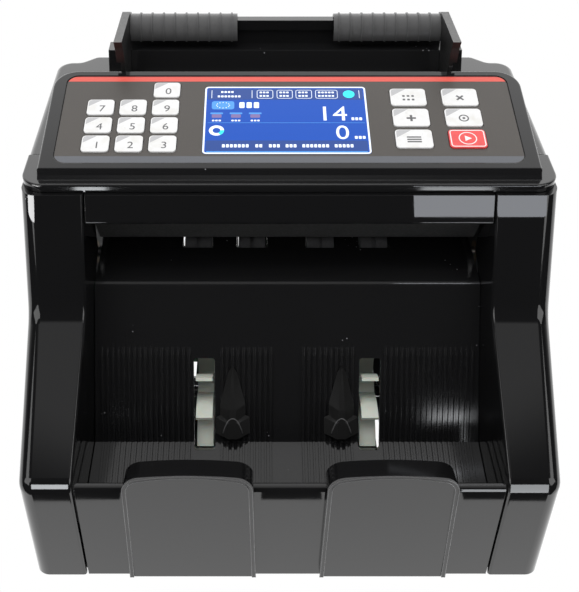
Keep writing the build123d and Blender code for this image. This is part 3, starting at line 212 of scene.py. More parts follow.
def glowing(name, color, light, strength, glare=0.5):
    """A lit part of the display under its clear window."""
    finish = Finish(name, color, 0.14, Specular_IOR_Level=glare)
    finish.shader.inputs["Emission Color"].default_value = (*light, 1)
    finish.shader.inputs["Emission Strength"].default_value = strength
    lines = finish.noise(scale=2400, detail=1, stretch=(0.02, 1, 1))
    finish.color(lines, [c * 0.9 for c in color], color)
    return finish.material


def brushed_metal(name, color, roughness, stretch):
    """Metal with fine marks of its making, drawn out by the stretch."""
    finish = Finish(name, color, roughness, Metallic=1.0)
    streaks = finish.noise(scale=1200, detail=4, stretch=stretch)
    finish.color(streaks, [c * 0.8 for c in color], color)
    finish.rough(streaks, roughness * 0.75, roughness * 1.3)
    finish.bump(streaks, strength=0.2, depth=0.03 * MM)
    return finish.material


def rubber(name, low, high):
    """Matt rubber with a coarse grain."""
    finish = Finish(name, low, 0.75)
    finish.color(finish.noise(scale=160, detail=5), low, high)
    finish.rough(finish.noise(scale=500, detail=3), 0.62, 0.88)
    finish.bump(finish.noise(scale=1400, detail=4), strength=0.4, depth=0.08 * MM)
    return finish.material


def board(name):
    """Solder-masked board with faint traces."""
    finish = Finish(name, (0.03, 0.18, 0.07), 0.35)
    lanes = finish.noise(scale=320, detail=1, stretch=(1, 0.15, 1))
    traces = finish.remap(lanes, 0.48, 0.52, 0.0, 1.0)
    finish.color(traces, (0.02, 0.14, 0.05), (0.04, 0.24, 0.10))
    finish.bump(traces, strength=0.3, depth=0.04 * MM)
    return finish.material


def milky(name, low, high):
    """Translucent elastomer of the stacking wheels."""
    finish = Finish(name, low, 0.42, Subsurface_Weight=0.25, Subsurface_Scale=2 * MM)
    finish.color(finish.noise(scale=120, detail=4), low, high)
    finish.rough(finish.noise(scale=600, detail=3), 0.34, 0.52)
    finish.bump(finish.noise(scale=1500, detail=3), strength=0.25, depth=0.05 * MM)
    return finish.material


DRAWN_ALONG_Y = (1, 0.05, 1)          # stretches that set the way the marks on metal run
TURNED_ROUND_X = (1, 0.1, 0.1)
SINTERED = (1, 1, 1)
SPUN_ROUND_Z = (1, 1, 0.2)
MATERIALS = {
    "gloss_black": polished_black("gloss_black", 0.006, (0.035, 0.075), dust=0.30),
    "tray_black": polished_black("tray_black", 0.008, (0.10, 0.17), dust=0.34),
    "console_grey": polished_black("console_grey", 0.008, (0.07, 0.12), dust=0.30),
    "overlay_print": grained_plastic(
        "overlay_print", (0.050, 0.044, 0.039), (0.058, 0.051, 0.045), (0.42, 0.52),
        grain=5200, depth=0.02 * MM),
    "lcd_blue": glowing("lcd_blue", (0.002, 0.045, 0.27), (0.0, 0.11, 0.70), 0.36, glare=0.3),
    "key_white": smooth_cap("key_white", (0.74, 0.74, 0.74), (0.66, 0.65, 0.62)),
    "key_red": smooth_cap("key_red", (0.74, 0.065, 0.065), (0.60, 0.06, 0.06)),
    "steel": brushed_metal("steel", (0.55, 0.56, 0.58), 0.34, DRAWN_ALONG_Y),
    "coated_steel": grained_plastic(
        "coated_steel", (0.020, 0.020, 0.021), (0.028, 0.028, 0.029), (0.42, 0.55),
        grain=2400, depth=0.03 * MM),
    "turned_steel": brushed_metal("turned_steel", (0.62, 0.62, 0.64), 0.22, TURNED_ROUND_X),
    "roller_rubber": rubber("roller_rubber", (0.028, 0.028, 0.03), (0.05, 0.05, 0.052)),
    "wheel_clear": milky("wheel_clear", (0.50, 0.53, 0.47), (0.58, 0.61, 0.54)),
    "bearing_bronze": brushed_metal("bearing_bronze", (0.28, 0.19, 0.10), 0.45, SINTERED),
    "board_green": board("board_green"),
    "belt_rubber": rubber("belt_rubber", (0.018, 0.018, 0.018), (0.035, 0.035, 0.035)),
    "white_nylon": smooth_cap("white_nylon", (0.74, 0.74, 0.69), (0.62, 0.61, 0.55)),
    "retard_rubber": rubber("retard_rubber", (0.40, 0.17, 0.06), (0.48, 0.22, 0.09)),
    "inner_plastic": grained_plastic(
        "inner_plastic", (0.022, 0.022, 0.022), (0.032, 0.032, 0.032), (0.45, 0.6),
        grain=1800, depth=0.05 * MM),
    "foot_rubber": rubber("foot_rubber", (0.03, 0.03, 0.03), (0.05, 0.05, 0.05)),
    "screw_steel": brushed_metal("screw_steel", (0.6, 0.6, 0.6), 0.25, SPUN_ROUND_Z),
}
WING_FROM = 82.9 * MM             # the wings of the guides start at this distance from the middle


def guide_plastic(name, sleeve, wing):
    """Moulded guide with a lighter grey sleeve and a dark wing."""
    finish = Finish(name, sleeve, 0.4)
    across = finish.node("ShaderNodeSeparateXYZ", Vector=finish.place).outputs["X"]
    distance = finish.math("ABSOLUTE", across, 0.0)
    outside = finish.remap(distance, WING_FROM, WING_FROM + 0.2 * MM, 0.0, 1.0)
    finish.color(outside, sleeve, wing)
    finish.rough(finish.noise(scale=800, detail=2), 0.34, 0.44)
    finish.bump(finish.noise(scale=2000, detail=3), strength=0.35, depth=0.03 * MM)
    return finish.material


SATIN_GUIDE = guide_plastic("satin_guide", (0.070, 0.070, 0.071), (0.010, 0.010, 0.010))
SATIN_FIN = grained_plastic("satin_fin", (0.008, 0.008, 0.008), (0.012, 0.012, 0.012),
                            (0.34, 0.42), grain=2000, depth=0.02 * MM, glare=0.2)
SPECIAL = {"guide_left": SATIN_GUIDE, "guide_right": SATIN_GUIDE,
           "note_fin_left": SATIN_FIN, "note_fin_right": SATIN_FIN}

for subpart in frame["record"]["subparts"]:
    node = NODES[subpart["node"]]
    node.data.materials.clear()
    node.data.materials.append(SPECIAL.get(subpart["node"], MATERIALS[subpart["material_slot"]]))


# ---- flat printed shapes on the panel ------------------------------------------------------
INK = 0.03 * MM                       # thickness of a printed layer
CAP_HEIGHT = 0.7                      # height of a numeral, as a share of its type size


def rounded(x, y, wide, deep, radius, steps=6):
    """Outline of a rounded rectangle about (x, y)."""
    loop = []
    for sx, sy, start in ((1, 1, 0), (-1, 1, 90), (-1, -1, 180), (1, -1, 270)):
        for i in range(steps + 1):
            angle = math.radians(start + 90 * i / steps)
            loop.append((x + sx * (wide / 2 - radius) + radius * math.cos(angle),
                         y + sy * (deep / 2 - radius) + radius * math.sin(angle)))
    return loop


def circle(x, y, radius, steps=40):
    turn = [math.tau * i / steps for i in range(steps)]
    return [(x + radius * math.cos(a), y + radius * math.sin(a)) for a in turn]


def cut(loop, level, keep_above):
    """The part of an outline above or below a level."""
    side = 1 if keep_above else -1
    kept = []
    for (ax, ay), (bx, by) in zip(loop, loop[1:] + loop[:1]):
        inside = side * (ay - level) >= 0
        if inside:
            kept.append((ax, ay))
        if inside != (side * (by - level) >= 0):
            share = (level - ay) / (by - ay)
            kept.append((ax + (bx - ax) * share, level))
    return kept


class Print:
    """Inked shapes on the console panel, collected in one mesh."""

    def __init__(self, x, along, height):
        self.origin = PANEL_X * x + PANEL_ALONG * along + PANEL_UP * height
        self.mesh = bmesh.new()

    def at(self, x, y, z):
        return self.origin + PANEL_X * x + PANEL_ALONG * y + PANEL_UP * z

    def shape(self, loop):
        low = [self.mesh.verts.new(self.at(x, y, 0)) for x, y in loop]
        high = [self.mesh.verts.new(self.at(x, y, INK)) for x, y in loop]
        self.mesh.faces.new(high)
        self.mesh.faces.new(low[::-1])
        for i in range(len(loop)):
            j = (i + 1) % len(loop)
            self.mesh.faces.new((low[i], low[j], high[j], high[i]))

    def band(self, outer, inner):
        """A closed line between two outlines with the same number of points."""
        rings = [[self.mesh.verts.new(self.at(x, y, z)) for x, y in loop]
                 for loop, z in ((outer, 0), (outer, INK), (inner, INK), (inner, 0))]
        count = len(outer)
        for k in range(4):
            a, b = rings[k], rings[(k + 1) % 4]
            for i in range(count):
                j = (i + 1) % count
                self.mesh.faces.new((a[i], a[j], b[j], b[i]))

    def bar(self, x, y, wide, deep):
        self.shape(rounded(x, y, wide, deep, min(wide, deep) * 0.2, 2))

    def ring(self, x, y, outer, inner):
        self.band(circle(x, y, outer), circle(x, y, inner))

    def box_line(self, x, y, wide, deep, radius, line):
        self.band(rounded(x, y, wide, deep, radius),
                  rounded(x, y, wide - 2 * line, deep - 2 * line, radius - line))

    def digits(self, text, x, y, height):
        """Numerals in a plain face, centred on (x, y)."""
        letters = bpy.data.curves.new("numerals", "FONT")
        letters.body = text
        letters.size = height / CAP_HEIGHT
        letters.align_x = "CENTER"
        letters.extrude = INK / 2
        holder = bpy.data.objects.new("numerals", letters)
        bpy.context.scene.collection.objects.link(holder)
        bpy.context.view_layer.update()
        made = bpy.data.meshes.new_from_object(
            holder.evaluated_get(bpy.context.evaluated_depsgraph_get()))
        bpy.data.objects.remove(holder)
        for vertex in made.vertices:
            vx, vy, vz = vertex.co
            vertex.co = self.at(x + vx, y + vy - height / 2, vz + INK / 2)
        self.mesh.from_mesh(made)
        bpy.data.meshes.remove(made)

    def finish(self, name, material, body, slot):
        bmesh.ops.remove_doubles(self.mesh, verts=self.mesh.verts, dist=1e-7)
        bmesh.ops.recalc_face_normals(self.mesh, faces=self.mesh.faces)
        add_piece(name, self.mesh, material, body)


def add_piece(name, mesh, material, body):
    """Turns a bmesh into an object that rides on a body."""
    data = bpy.data.meshes.new(name)
    mesh.to_mesh(data)
    mesh.free()
    data.materials.append(material)
    piece = bpy.data.objects.new(name, data)
    bpy.context.scene.collection.objects.link(piece)
    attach(piece, body)


# ---- overlay: red stripe with painted glow, painted shade at its edge, lower band of painted reflection ---
# The red ink glows faintly: painted light that brightens the printed stripe.
RED_INK_PAINTED_GLOW = ink("red_ink_painted_glow", (0.60, 0.083, 0.062), glow=0.18)
# The lower band is a painted reflection: a bluish grey that stands in for the sky seen in the overlay's curved
# lower edge.
BAND_PAINTED_REFLECTION = ink("band_painted_reflection", (0.092, 0.098, 0.112), 0.3)
# A thin dark red line at the overlay's rear edge, above the red stripe: painted shade where the overlay meets the
# bezel.
DARK_RED_PAINTED_SHADE = ink("dark_red_painted_shade", (0.22, 0.02, 0.02))
STRIPE_DEEP = 3.6 * MM
STRIPE_EDGE = 0.5 * MM
BAND_DEEP = 4.6 * MM
OVERLAY_ROUND = 5.6 * MM
OVERLAY_MARGIN = 0.2 * MM

overlay_x, overlay_along, overlay_wide, overlay_deep, overlay_top = panel_rect("control_overlay")
overlay_outline = rounded(0, 0, overlay_wide - OVERLAY_MARGIN, overlay_deep - OVERLAY_MARGIN,
                          OVERLAY_ROUND)


def overlay_print(name, low, high, material):
    """A flat band across the overlay, between two distances from its front edge; it carries the printed red
    stripe, and also the painted shade and the painted reflection.
    """
    stripe = Print(overlay_x, overlay_along, overlay_top)
    loop = cut(cut(overlay_outline, low - overlay_deep / 2, True), high - overlay_deep / 2, False)
    stripe.shape(loop)
    stripe.finish(name, material, "chassis", "overlay_print")


overlay_print("overlay_red_stripe", overlay_deep - STRIPE_DEEP - STRIPE_EDGE,
              overlay_deep - STRIPE_EDGE, RED_INK_PAINTED_GLOW)
overlay_print("overlay_stripe_edge_painted_shade", overlay_deep - STRIPE_EDGE, overlay_deep, DARK_RED_PAINTED_SHADE)
overlay_print("overlay_lower_band_painted_reflection", 0, BAND_DEEP, BAND_PAINTED_REFLECTION)


# ---- display graphics: bars stand in for words, and the numbers are plain numerals ---------
lcd_x, lcd_along, lcd_wide, lcd_deep, lcd_top = panel_rect("lcd_window")
LCD_WHITE = glowing("lcd_white", (0.75, 0.82, 0.92), (0.75, 0.85, 1.0), 0.35)
LCD_PALE = glowing("lcd_pale", (0.06, 0.24, 0.60), (0.04, 0.30, 0.80), 0.35)
LCD_CYAN = glowing("lcd_cyan", (0.02, 0.75, 0.80), (0.0, 0.9, 0.95), 0.35)
LCD_DEEP = glowing("lcd_deep", (0.003, 0.035, 0.18), (0.0, 0.07, 0.42), 0.28)
LCD_ICON = glowing("lcd_icon", (0.16, 0.12, 0.30), (0.30, 0.20, 0.45), 0.2)
# Places on the display are in mm from its lower left corner.
LINE = 0.28
TOP_ROW, BOTTOM_ROW = 43.9, 5.6
FLAG = (9.2, 35.4)
FLAG_DOTS = 12
ICON_COLUMNS = (6.2, 15.7, 25.2)
MIDDLE_LINE = (40.4, 22.3)
BOTTOM_LINE = (40.4, 1.5)
TOP_BOXES = ((30.1, 8.2), (40.0, 8.0), (49.6, 8.2), (61.0, 11.2))       # centre and width
TOP_TICKS = (3.4, 23.6, 77.4)
LAMP = (72.2, TOP_ROW)
GAUGE = (6.4, 16.6)
GAUGE_OUTER, GAUGE_INNER = 3.7, 1.9
GAUGE_MARK = (-60, 4)                 # the part of the gauge that is lit, in degrees
WORDS = (                             # first bar, how many bars, their step and their height
    (4.6, 23.9, 3, 1.6, 1.1), (14.1, 23.9, 3, 1.6, 1.1), (23.6, 23.9, 3, 1.6, 1.1),
    (73.2, 25.2, 3, 1.9, 2.0), (74.0, 11.6, 3, 1.9, 2.0),
    (10.0, BOTTOM_ROW, 7, 1.9, 2.2), (26.0, BOTTOM_ROW, 2, 1.9, 2.2),
    (32.5, BOTTOM_ROW, 3, 1.9, 2.2), (40.5, BOTTOM_ROW, 3, 1.9, 2.2),
    (48.5, BOTTOM_ROW, 7, 1.9, 2.2), (64.0, BOTTOM_ROW, 5, 1.9, 2.2),
    (8.6, 45.6, 4, 1.7, 1.4), (7.0, 42.2, 7, 1.7, 1.4), (18.6, 35.5, 3, 3.6, 4.4),
)


def on_lcd(u, v):
    """A place on the display, as a distance from the middle of its window."""
    return u * MM - lcd_wide / 2, v * MM - lcd_deep / 2


def lcd_bar(target, place, wide, deep):
    target.bar(*on_lcd(*place), wide * MM, deep * MM)


def word(target, u, v, count, step, deep):
    """A row of short bars that stands in for a word."""
    for i in range(count):
        lcd_bar(target, (u + i * step, v), step * 0.72, deep)


def display_print(layer=0):
    return Print(lcd_x, lcd_along, lcd_top + layer * INK)


background = display_print()
for row, deep in ((TOP_ROW, 8.4), (BOTTOM_ROW, 7.6)):
    background.shape(rounded(0, on_lcd(0, row)[1], lcd_wide - 3 * MM, deep * MM, 0.8 * MM))
background.finish("lcd_deep_rows", LCD_DEEP, "chassis", "lcd_blue")

pale = display_print()
lcd_bar(pale, FLAG, 11.2, 6.2)
for u in ICON_COLUMNS:
    lcd_bar(pale, (u, 29.3), 6.2, 1.2)
lcd_bar(pale, MIDDLE_LINE, 77, 0.25)
lcd_bar(pale, BOTTOM_LINE, 77, 0.8)
pale.finish("lcd_pale_marks", LCD_PALE, "chassis", "lcd_blue")

icons = display_print()
for u in ICON_COLUMNS:
    lcd_bar(icons, (u, 27.3), 4.8, 2.6)
icons.finish("lcd_icons", LCD_ICON, "chassis", "lcd_blue")

white = display_print(1)
white.box_line(0, 0, lcd_wide, lcd_deep, 1.9 * MM, 0.85 * MM)
for u, wide in TOP_BOXES:
    white.box_line(*on_lcd(u, TOP_ROW), wide * MM, 6.6 * MM, 1.2 * MM, LINE * MM)
    for v in (45.3, 42.6):
        word(white, u - wide / 2 + 2.0, v, int(wide / 2.2), 1.7, 1.2)
for u in TOP_TICKS:
    lcd_bar(white, (u, TOP_ROW), LINE, 6)
for angle in [math.tau * i / FLAG_DOTS for i in range(FLAG_DOTS)]:
    dot = (FLAG[0] + 3.2 * math.sin(angle), FLAG[1] + 2.1 * math.cos(angle))
    lcd_bar(white, dot, 0.5, 0.5)
for row in WORDS:
    word(white, *row)
white.digits("14", *on_lcd(63.3, 29.3), 10.6 * MM)
white.digits("0", *on_lcd(67.6, 15.4), 9.8 * MM)
white.ring(*on_lcd(*GAUGE), GAUGE_OUTER * MM, GAUGE_INNER * MM)
white.finish("lcd_white_marks", LCD_WHITE, "chassis", "lcd_blue")

cyan = display_print(2)
cyan.shape(circle(*on_lcd(*LAMP), 2.9 * MM))
mark_turn = [math.radians(a) for a in range(GAUGE_MARK[0], GAUGE_MARK[1] + 1, 8)]
mark_line = ([(GAUGE_OUTER, a) for a in mark_turn] + [(GAUGE_INNER, a) for a in mark_turn[::-1]])
cyan.shape([on_lcd(GAUGE[0] + r * math.cos(a), GAUGE[1] + r * math.sin(a)) for r, a in mark_line])
cyan.finish("lcd_cyan_marks", LCD_CYAN, "chassis", "lcd_blue")


# ---- key legends ---------------------------------------------------------------------------
LEGEND_INK = ink("legend_ink", (0.10, 0.10, 0.105))
CORNER_INK = ink("corner_ink", (0.46, 0.46, 0.47))
WHITE_INK = ink("white_ink", (0.85, 0.82, 0.82))


KEY_RIM = 1.1 * MM                    # flange and rounded rim round the flat top of a key


def key_print(node, forward=0.0):
    """A print on a key's top, and the flat size of that top."""
    x, along, wide, deep, top = panel_rect(node)
    return Print(x, along - forward, top), wide - 2 * KEY_RIM, deep - 2 * KEY_RIM


def corner_mark(node):
    """The grey corner in the rear left of a key."""
    mark, wide, deep = key_print(node)
    left, rear = -wide / 2, deep / 2
    run = 0.46 * deep
    mark.shape([(left + run * 1.35, rear), (left, rear - run), (left, rear - 1.4 * MM),
                (left + 0.5 * MM, rear - 0.4 * MM), (left + 1.5 * MM, rear)])
    mark.finish(f"{node}_corner", CORNER_INK, f"{node}_cap", "key_white")


def plus(mark, size):
    mark.bar(0, 0, size, size * 0.26)
    mark.bar(0, size * 0.315, size * 0.26, size * 0.37)
    mark.bar(0, -size * 0.315, size * 0.26, size * 0.37)


def cross(mark, size):
    arm, half = size / 2, size * 0.11
    for turn in (45, 135):
        c, s = math.cos(math.radians(turn)), math.sin(math.radians(turn))
        reaches = ((-arm, arm),) if turn == 45 else ((-arm, -half), (half, arm))
        for low, high in reaches:
            corners = ((low, -half), (high, -half), (high, half), (low, half))
            mark.shape([(x * c - y * s, x * s + y * c) for x, y in corners])


def stack(mark, size):
    for i in (-1, 0, 1):
        mark.bar(0, i * size * 0.36, size * 1.5, size * 0.2)


def dots(mark, size):
    for i in (-1, 0, 1):
        for j in (-0.5, 0.5):
            mark.bar(i * size * 0.5, j * size * 0.6, size * 0.28, size * 0.28)


def dial(mark, size):
    mark.ring(0, 0, size * 0.55, size * 0.4)
    mark.shape(circle(0, 0, size * 0.16, 20))


LEGEND_SIZE = 4.6 * MM
SYMBOLS = {"key_add": plus, "key_clear": cross, "key_batch": stack, "key_menu": dots,
           "key_mode": dial}

for number in range(10):
    node = f"key_{number}"
    legend, _, _ = key_print(node)
    legend.digits(str(number), 0.8 * MM, -1.2 * MM, LEGEND_SIZE)
    legend.finish(f"{node}_legend", LEGEND_INK, f"{node}_cap", "key_white")
    corner_mark(node)

for node, symbol in SYMBOLS.items():
    legend, _, _ = key_print(node, forward=0.8 * MM)
    symbol(legend, LEGEND_SIZE)
    legend.finish(f"{node}_legend", LEGEND_INK, f"{node}_cap", "key_white")
    corner_mark(node)

start_mark, start_wide, start_deep = key_print("key_start")
start_mark.box_line(0, 0, start_wide, start_deep, 1.6 * MM, 0.5 * MM)
start_mark.ring(0, 0, 4.4 * MM, 3.9 * MM)
start_mark.shape([(-1.3 * MM, -1.9 * MM), (2.0 * MM, 0), (-1.3 * MM, 1.9 * MM)])
start_mark.finish("key_start_legend", WHITE_INK, "key_start_cap", "key_red")


# ---- moulded beads in a lighter grey as painted highlight: the edge of each paddle's rim and the arch on each note fin ---
# The beads are a lighter grey than the black covers: a painted highlight along the paddle rims and the fin arches.
BEAD_PAINTED_HIGHLIGHT = grained_plastic("bead_painted_highlight", (0.075, 0.075, 0.077), (0.090, 0.090, 0.092),
                               (0.26, 0.34), grain=300, depth=0.002 * MM)
BEAD_SIDES = 8
RIM_BEAD = 0.22 * MM
RIM_BEAD_SUNK = 0.05 * MM
RIM_INSETS = {"outer": 0.35 * MM, "inner": 2.0 * MM}
PADDLE_CORNER = 9.0 * MM
PADDLE_BOW = 2.4 * MM                 # how much the top edge falls from its middle to its corners
PADDLE_SPREAD = 1.2 * MM              # how much wider each side is at the foot
ARCH_BEAD = 0.3 * MM
ARCH_HALF, ARCH_TOP, ARCH_FALL, ARCH_POWER = 5.0, 9.6, 8.0, 2.2         # in mm on the fin's front


def surface_point(tree, x, z):
    """First point of a node met from the front at (x, z)."""
    return tree.ray_cast(Vector((x, -1, z)), Vector((0, 1, 0)))[0]


def bead(name, points, radius):
    """A thin half-sunk bead along points on a surface."""
    mesh = bmesh.new()
    rings = []
    turn = [math.tau * k / BEAD_SIDES for k in range(BEAD_SIDES)]
    for i, point in enumerate(points):
        along = (points[min(i + 1, len(points) - 1)] - points[max(i - 1, 0)]).normalized()
        across = along.cross(Vector((0, 1, 0))).normalized()
        out = across.cross(along).normalized()
        rings.append([mesh.verts.new(point + radius * (across * math.cos(t) + out * math.sin(t)))
                      for t in turn])
    for a, b in zip(rings, rings[1:]):
        for k in range(BEAD_SIDES):
            j = (k + 1) % BEAD_SIDES
            mesh.faces.new((a[k], a[j], b[j], b[k]))
    mesh.faces.new(rings[0][::-1])
    mesh.faces.new(rings[-1])
    bmesh.ops.recalc_face_normals(mesh, faces=mesh.faces)
    for face in mesh.faces:
        face.smooth = True
    add_piece(name, mesh, BEAD_PAINTED_HIGHLIGHT, "chassis")


def paddle_outline(box, inset):
    """Left side, bowed top and right side of a paddle, at an inset from its outline."""
    (left, _, foot), (right, _, top) = box
    middle, half = (left + right) / 2, (right - left) / 2 - inset - PADDLE_SPREAD
    top -= inset
    radius = PADDLE_CORNER - inset
    turn = [math.radians(90 * i / 8) for i in range(9)]
    corner = [(half - radius + radius * math.cos(a),
               top - PADDLE_BOW - radius + radius * math.sin(a)) for a in turn]
    bow = [(share * (half - radius), top - PADDLE_BOW * share * share)
           for share in (0.8, 0.6, 0.4, 0.2, 0)]
    line = [(half + PADDLE_SPREAD, foot + 1 * MM)] + corner + bow
    return [(middle + x, z) for x, z in line] + [(middle - x, z) for x, z in line[-2::-1]]


def rim_beads(node):
    """The two beads along the rim of a paddle."""
    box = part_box(node)
    y = box[0][1] + RIM_BEAD_SUNK
    for label, inset in RIM_INSETS.items():
        path = [Vector((x, y, z)) for x, z in paddle_outline(box, inset)]
        bead(f"{node}_rim_{label}", path, RIM_BEAD)


def arch_bead(node):
    """The arch on the front of a note fin, laid on its surface."""
    data = NODES[node].data
    tree = BVHTree.FromPolygons([v.co.copy() for v in data.vertices],
                                [tuple(p.vertices) for p in data.polygons])
    (left, _, foot), (right, _, _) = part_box(node)
    middle = (left + right) / 2
    places = []
    for u in [-ARCH_HALF + i * 0.5 for i in range(21)]:
        v = ARCH_TOP - ARCH_FALL * abs(u / ARCH_HALF) ** ARCH_POWER
        places.append(surface_point(tree, middle + u * MM, foot + v * MM))
    bead(f"{node}_arch", [p for p in places if p is not None], ARCH_BEAD)


for side in ("left", "right"):
    rim_beads(f"stop_paddle_{side}")
    arch_bead(f"note_fin_{side}")


# ---- camera --------------------------------------------------------------------------------
CAMERA_DISTANCE = 295.6 * MM          # in front of the nose of the arms
CAMERA_HEIGHT = 435.2 * MM
CAMERA_DOWN = 40.0                    # degrees below level
CAMERA_X = -15.0 * MM
CAMERA_SHIFT = 0.054
LENS = 60.8
SENSOR = 36.0
nose_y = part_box("right_side_cover")[0][1]
camera_data = bpy.data.cameras.new("camera")
camera_data.lens = LENS
camera_data.sensor_width = SENSOR
camera_data.shift_x = CAMERA_SHIFT
camera = bpy.data.objects.new("camera", camera_data)
camera.location = (CAMERA_X, nose_y - CAMERA_DISTANCE, CAMERA_HEIGHT)
camera.rotation_euler = (math.radians(90 - CAMERA_DOWN), 0, 0)
bpy.context.scene.collection.objects.link(camera)
bpy.context.scene.camera = camera


# ---- floor, light and what the polished covers reflect -------------------------------------
def emission(name, color, strength):
    material = bpy.data.materials.new(name)
    material.use_nodes = True
    nodes = material.node_tree.nodes
    nodes.clear()
    glow = nodes.new("ShaderNodeEmission")
    glow.inputs["Color"].default_value = (*color, 1)
    glow.inputs["Strength"].default_value = strength
    out = nodes.new("ShaderNodeOutputMaterial")
    material.node_tree.links.new(glow.outputs["Emission"], out.inputs["Surface"])
    material.cycles.emission_sampling = "NONE"
    return material


def stage_mesh(name, corners, material, reflected_only):
    """A four-cornered sheet that isn't part of the object."""
    data = bpy.data.meshes.new(name)
    data.from_pydata(corners, [], [tuple(range(len(corners)))])
    data.materials.append(material)
    sheet = bpy.data.objects.new(name, data)
    bpy.context.scene.collection.objects.link(sheet)
    if reflected_only:
        hide_but_from_reflections(sheet)
    return sheet


def hide_but_from_reflections(thing):
    thing.visible_camera = False
    thing.visible_diffuse = False
    thing.visible_transmission = False
    thing.visible_shadow = False


def flat(left, right, front, rear, z):
    """Corners of a level rectangle."""
    return [(left, front, z), (right, front, z), (right, rear, z), (left, rear, z)]


FLOOR_HALF = 6
GLOW_Z = 0.6 * MM
TABLE_REACH = 49.0 * MM               # how far the bright table reaches in front of the nose
PADDLE_TABLE_REACH = 80.0 * MM        # and in front of the paddles, which stand higher
PADDLE_TABLES = {"left": (-90 * MM, -13 * MM), "right": (20 * MM, 97 * MM)}
floor = stage_mesh("floor", flat(-FLOOR_HALF, FLOOR_HALF, -FLOOR_HALF, FLOOR_HALF, 0),
                   emission("floor", (1, 1, 1), 1.0), False)
floor.visible_glossy = False
table_glow = emission("floor_glow", (1, 1, 1), 1.65)
table_front = nose_y - TABLE_REACH
stage_mesh("floor_glow", flat(-FLOOR_HALF, FLOOR_HALF, table_front, FLOOR_HALF, GLOW_Z),
           table_glow, True)
for side, (left, right) in PADDLE_TABLES.items():
    corners = flat(left, right, nose_y - PADDLE_TABLE_REACH, table_front, GLOW_Z)
    stage_mesh(f"floor_glow_{side}", corners, table_glow, True)


def smooth(value, low, high):
    share = max(0.0, min(1.0, (value - low) / (high - low)))
    return share * share * (3 - 2 * share)


BACK_GLOW = 2.1
CEILING_GLOW = 0.55
REAR_CEILING_GLOW = 0.7
FRONT_GLOW = 0.02


def sky(direction):
    """Brightness of the studio in a direction: bright behind, a soft ceiling, dark in front."""
    elevation = math.degrees(math.asin(max(-1, min(1, direction.z))))
    backward = direction.y / max(0.001, math.hypot(direction.x, direction.y))
    back = BACK_GLOW * smooth(backward, -0.1, 0.7) * (1 - smooth(elevation, 35, 75))
    ceiling = CEILING_GLOW * smooth(elevation, 55, 60)
    rear_ceiling = REAR_CEILING_GLOW * smooth(elevation, 55, 80) * smooth(backward, -0.5, 0.6)
    return back + ceiling + rear_ceiling + FRONT_GLOW


DOME_RADIUS = 8.0
DOME_STEPS = 144
dome_mesh = bmesh.new()
bmesh.ops.create_uvsphere(dome_mesh, u_segments=DOME_STEPS, v_segments=DOME_STEPS,
                          radius=DOME_RADIUS)
dome_data = bpy.data.meshes.new("studio_dome")
dome_mesh.to_mesh(dome_data)
dome_mesh.free()
levels = dome_data.color_attributes.new("sky", "FLOAT_COLOR", "POINT")
for vertex, level in zip(dome_data.vertices, levels.data):
    brightness = sky(vertex.co.normalized())
    level.color = (brightness, brightness, brightness, 1)
dome_material = emission("studio_dome", (1, 1, 1), 1.0)
dome_tree = dome_material.node_tree
sky_levels = dome_tree.nodes.new("ShaderNodeVertexColor")
sky_levels.layer_name = "sky"
dome_glow = [n for n in dome_tree.nodes if n.type == "EMISSION"][0]
dome_tree.links.new(sky_levels.outputs["Color"], dome_glow.inputs["Color"])
dome_data.materials.append(dome_material)
for polygon in dome_data.polygons:
    polygon.use_smooth = True
dome = bpy.data.objects.new("studio_dome", dome_data)
bpy.context.scene.collection.objects.link(dome)
hide_but_from_reflections(dome)

BOX_DISTANCE = 5.0
BOX_AZIMUTHS = (28.0, 70.0)           # degrees to the side of straight ahead
BOX_ELEVATIONS = (12.0, 45.0)
BOX_GLOW = 2.6


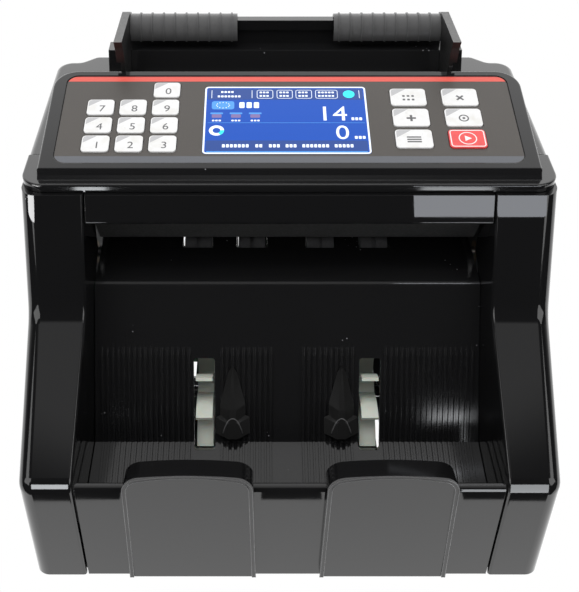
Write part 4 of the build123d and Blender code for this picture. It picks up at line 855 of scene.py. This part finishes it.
def soft_box(name, side):
    """A studio softbox in front of the machine, to its left (-1) or its right (1)."""
    corners = []
    for azimuth, elevation in ((0, 0), (1, 0), (1, 1), (0, 1)):
        a = math.radians(BOX_AZIMUTHS[azimuth])
        e = math.radians(BOX_ELEVATIONS[elevation])
        corners.append((side * BOX_DISTANCE * math.sin(a) * math.cos(e),
                        -BOX_DISTANCE * math.cos(a) * math.cos(e), BOX_DISTANCE * math.sin(e)))
    stage_mesh(name, corners, emission(name, (1.0, 1.0, 1.0), BOX_GLOW), True)


soft_box("soft_box_left", -1)
soft_box("soft_box_right", 1)


def near_card(name, left, right, low, high, ahead, color, strength):
    """A small card close to the machine; ahead is its distance in front of the nose."""
    y = nose_y - ahead * MM
    corners = [(left * MM, y, low * MM), (right * MM, y, low * MM),
               (right * MM, y, high * MM), (left * MM, y, high * MM)]
    stage_mesh(name, corners, emission(name, color, strength), True)


COOL_WHITE = (0.94, 0.97, 1.0)
near_card("nose_card_left", -130, -110, 65, 88, 40, COOL_WHITE, 12.0)
near_card("nose_card_right", 88, 133, 42, 88, 40, COOL_WHITE, 7.2)
near_card("upright_card_left", -175, -130, 165.7, 182, -64, (1.0, 1.0, 1.0), 18.0)
near_card("upright_card_right", 62.5, 137, 168.8, 182, -64, (0.90, 0.93, 1.0), 6.0)

WORLD_GLOW = 0.92
world = bpy.data.worlds.new("studio")
world.use_nodes = True
world.node_tree.nodes["Background"].inputs["Color"].default_value = (1, 1, 1, 1)
world.node_tree.nodes["Background"].inputs["Strength"].default_value = WORLD_GLOW
bpy.context.scene.world = world

LAMP_SIZE = (1.6, 1.2)
LAMP_PLACE = (-0.3, -0.4, 1.8)
LAMP_WATTS = 14.0
lamp_data = bpy.data.lights.new("ceiling_lamp", "AREA")
lamp_data.shape = "RECTANGLE"
lamp_data.size, lamp_data.size_y = LAMP_SIZE
lamp_data.energy = LAMP_WATTS
lamp = bpy.data.objects.new("ceiling_lamp", lamp_data)
lamp.location = LAMP_PLACE
lamp.rotation_euler = (-lamp.location).to_track_quat("-Z", "Y").to_euler()
lamp.visible_glossy = False
bpy.context.scene.collection.objects.link(lamp)

bpy.context.scene.view_settings.view_transform = "Standard"
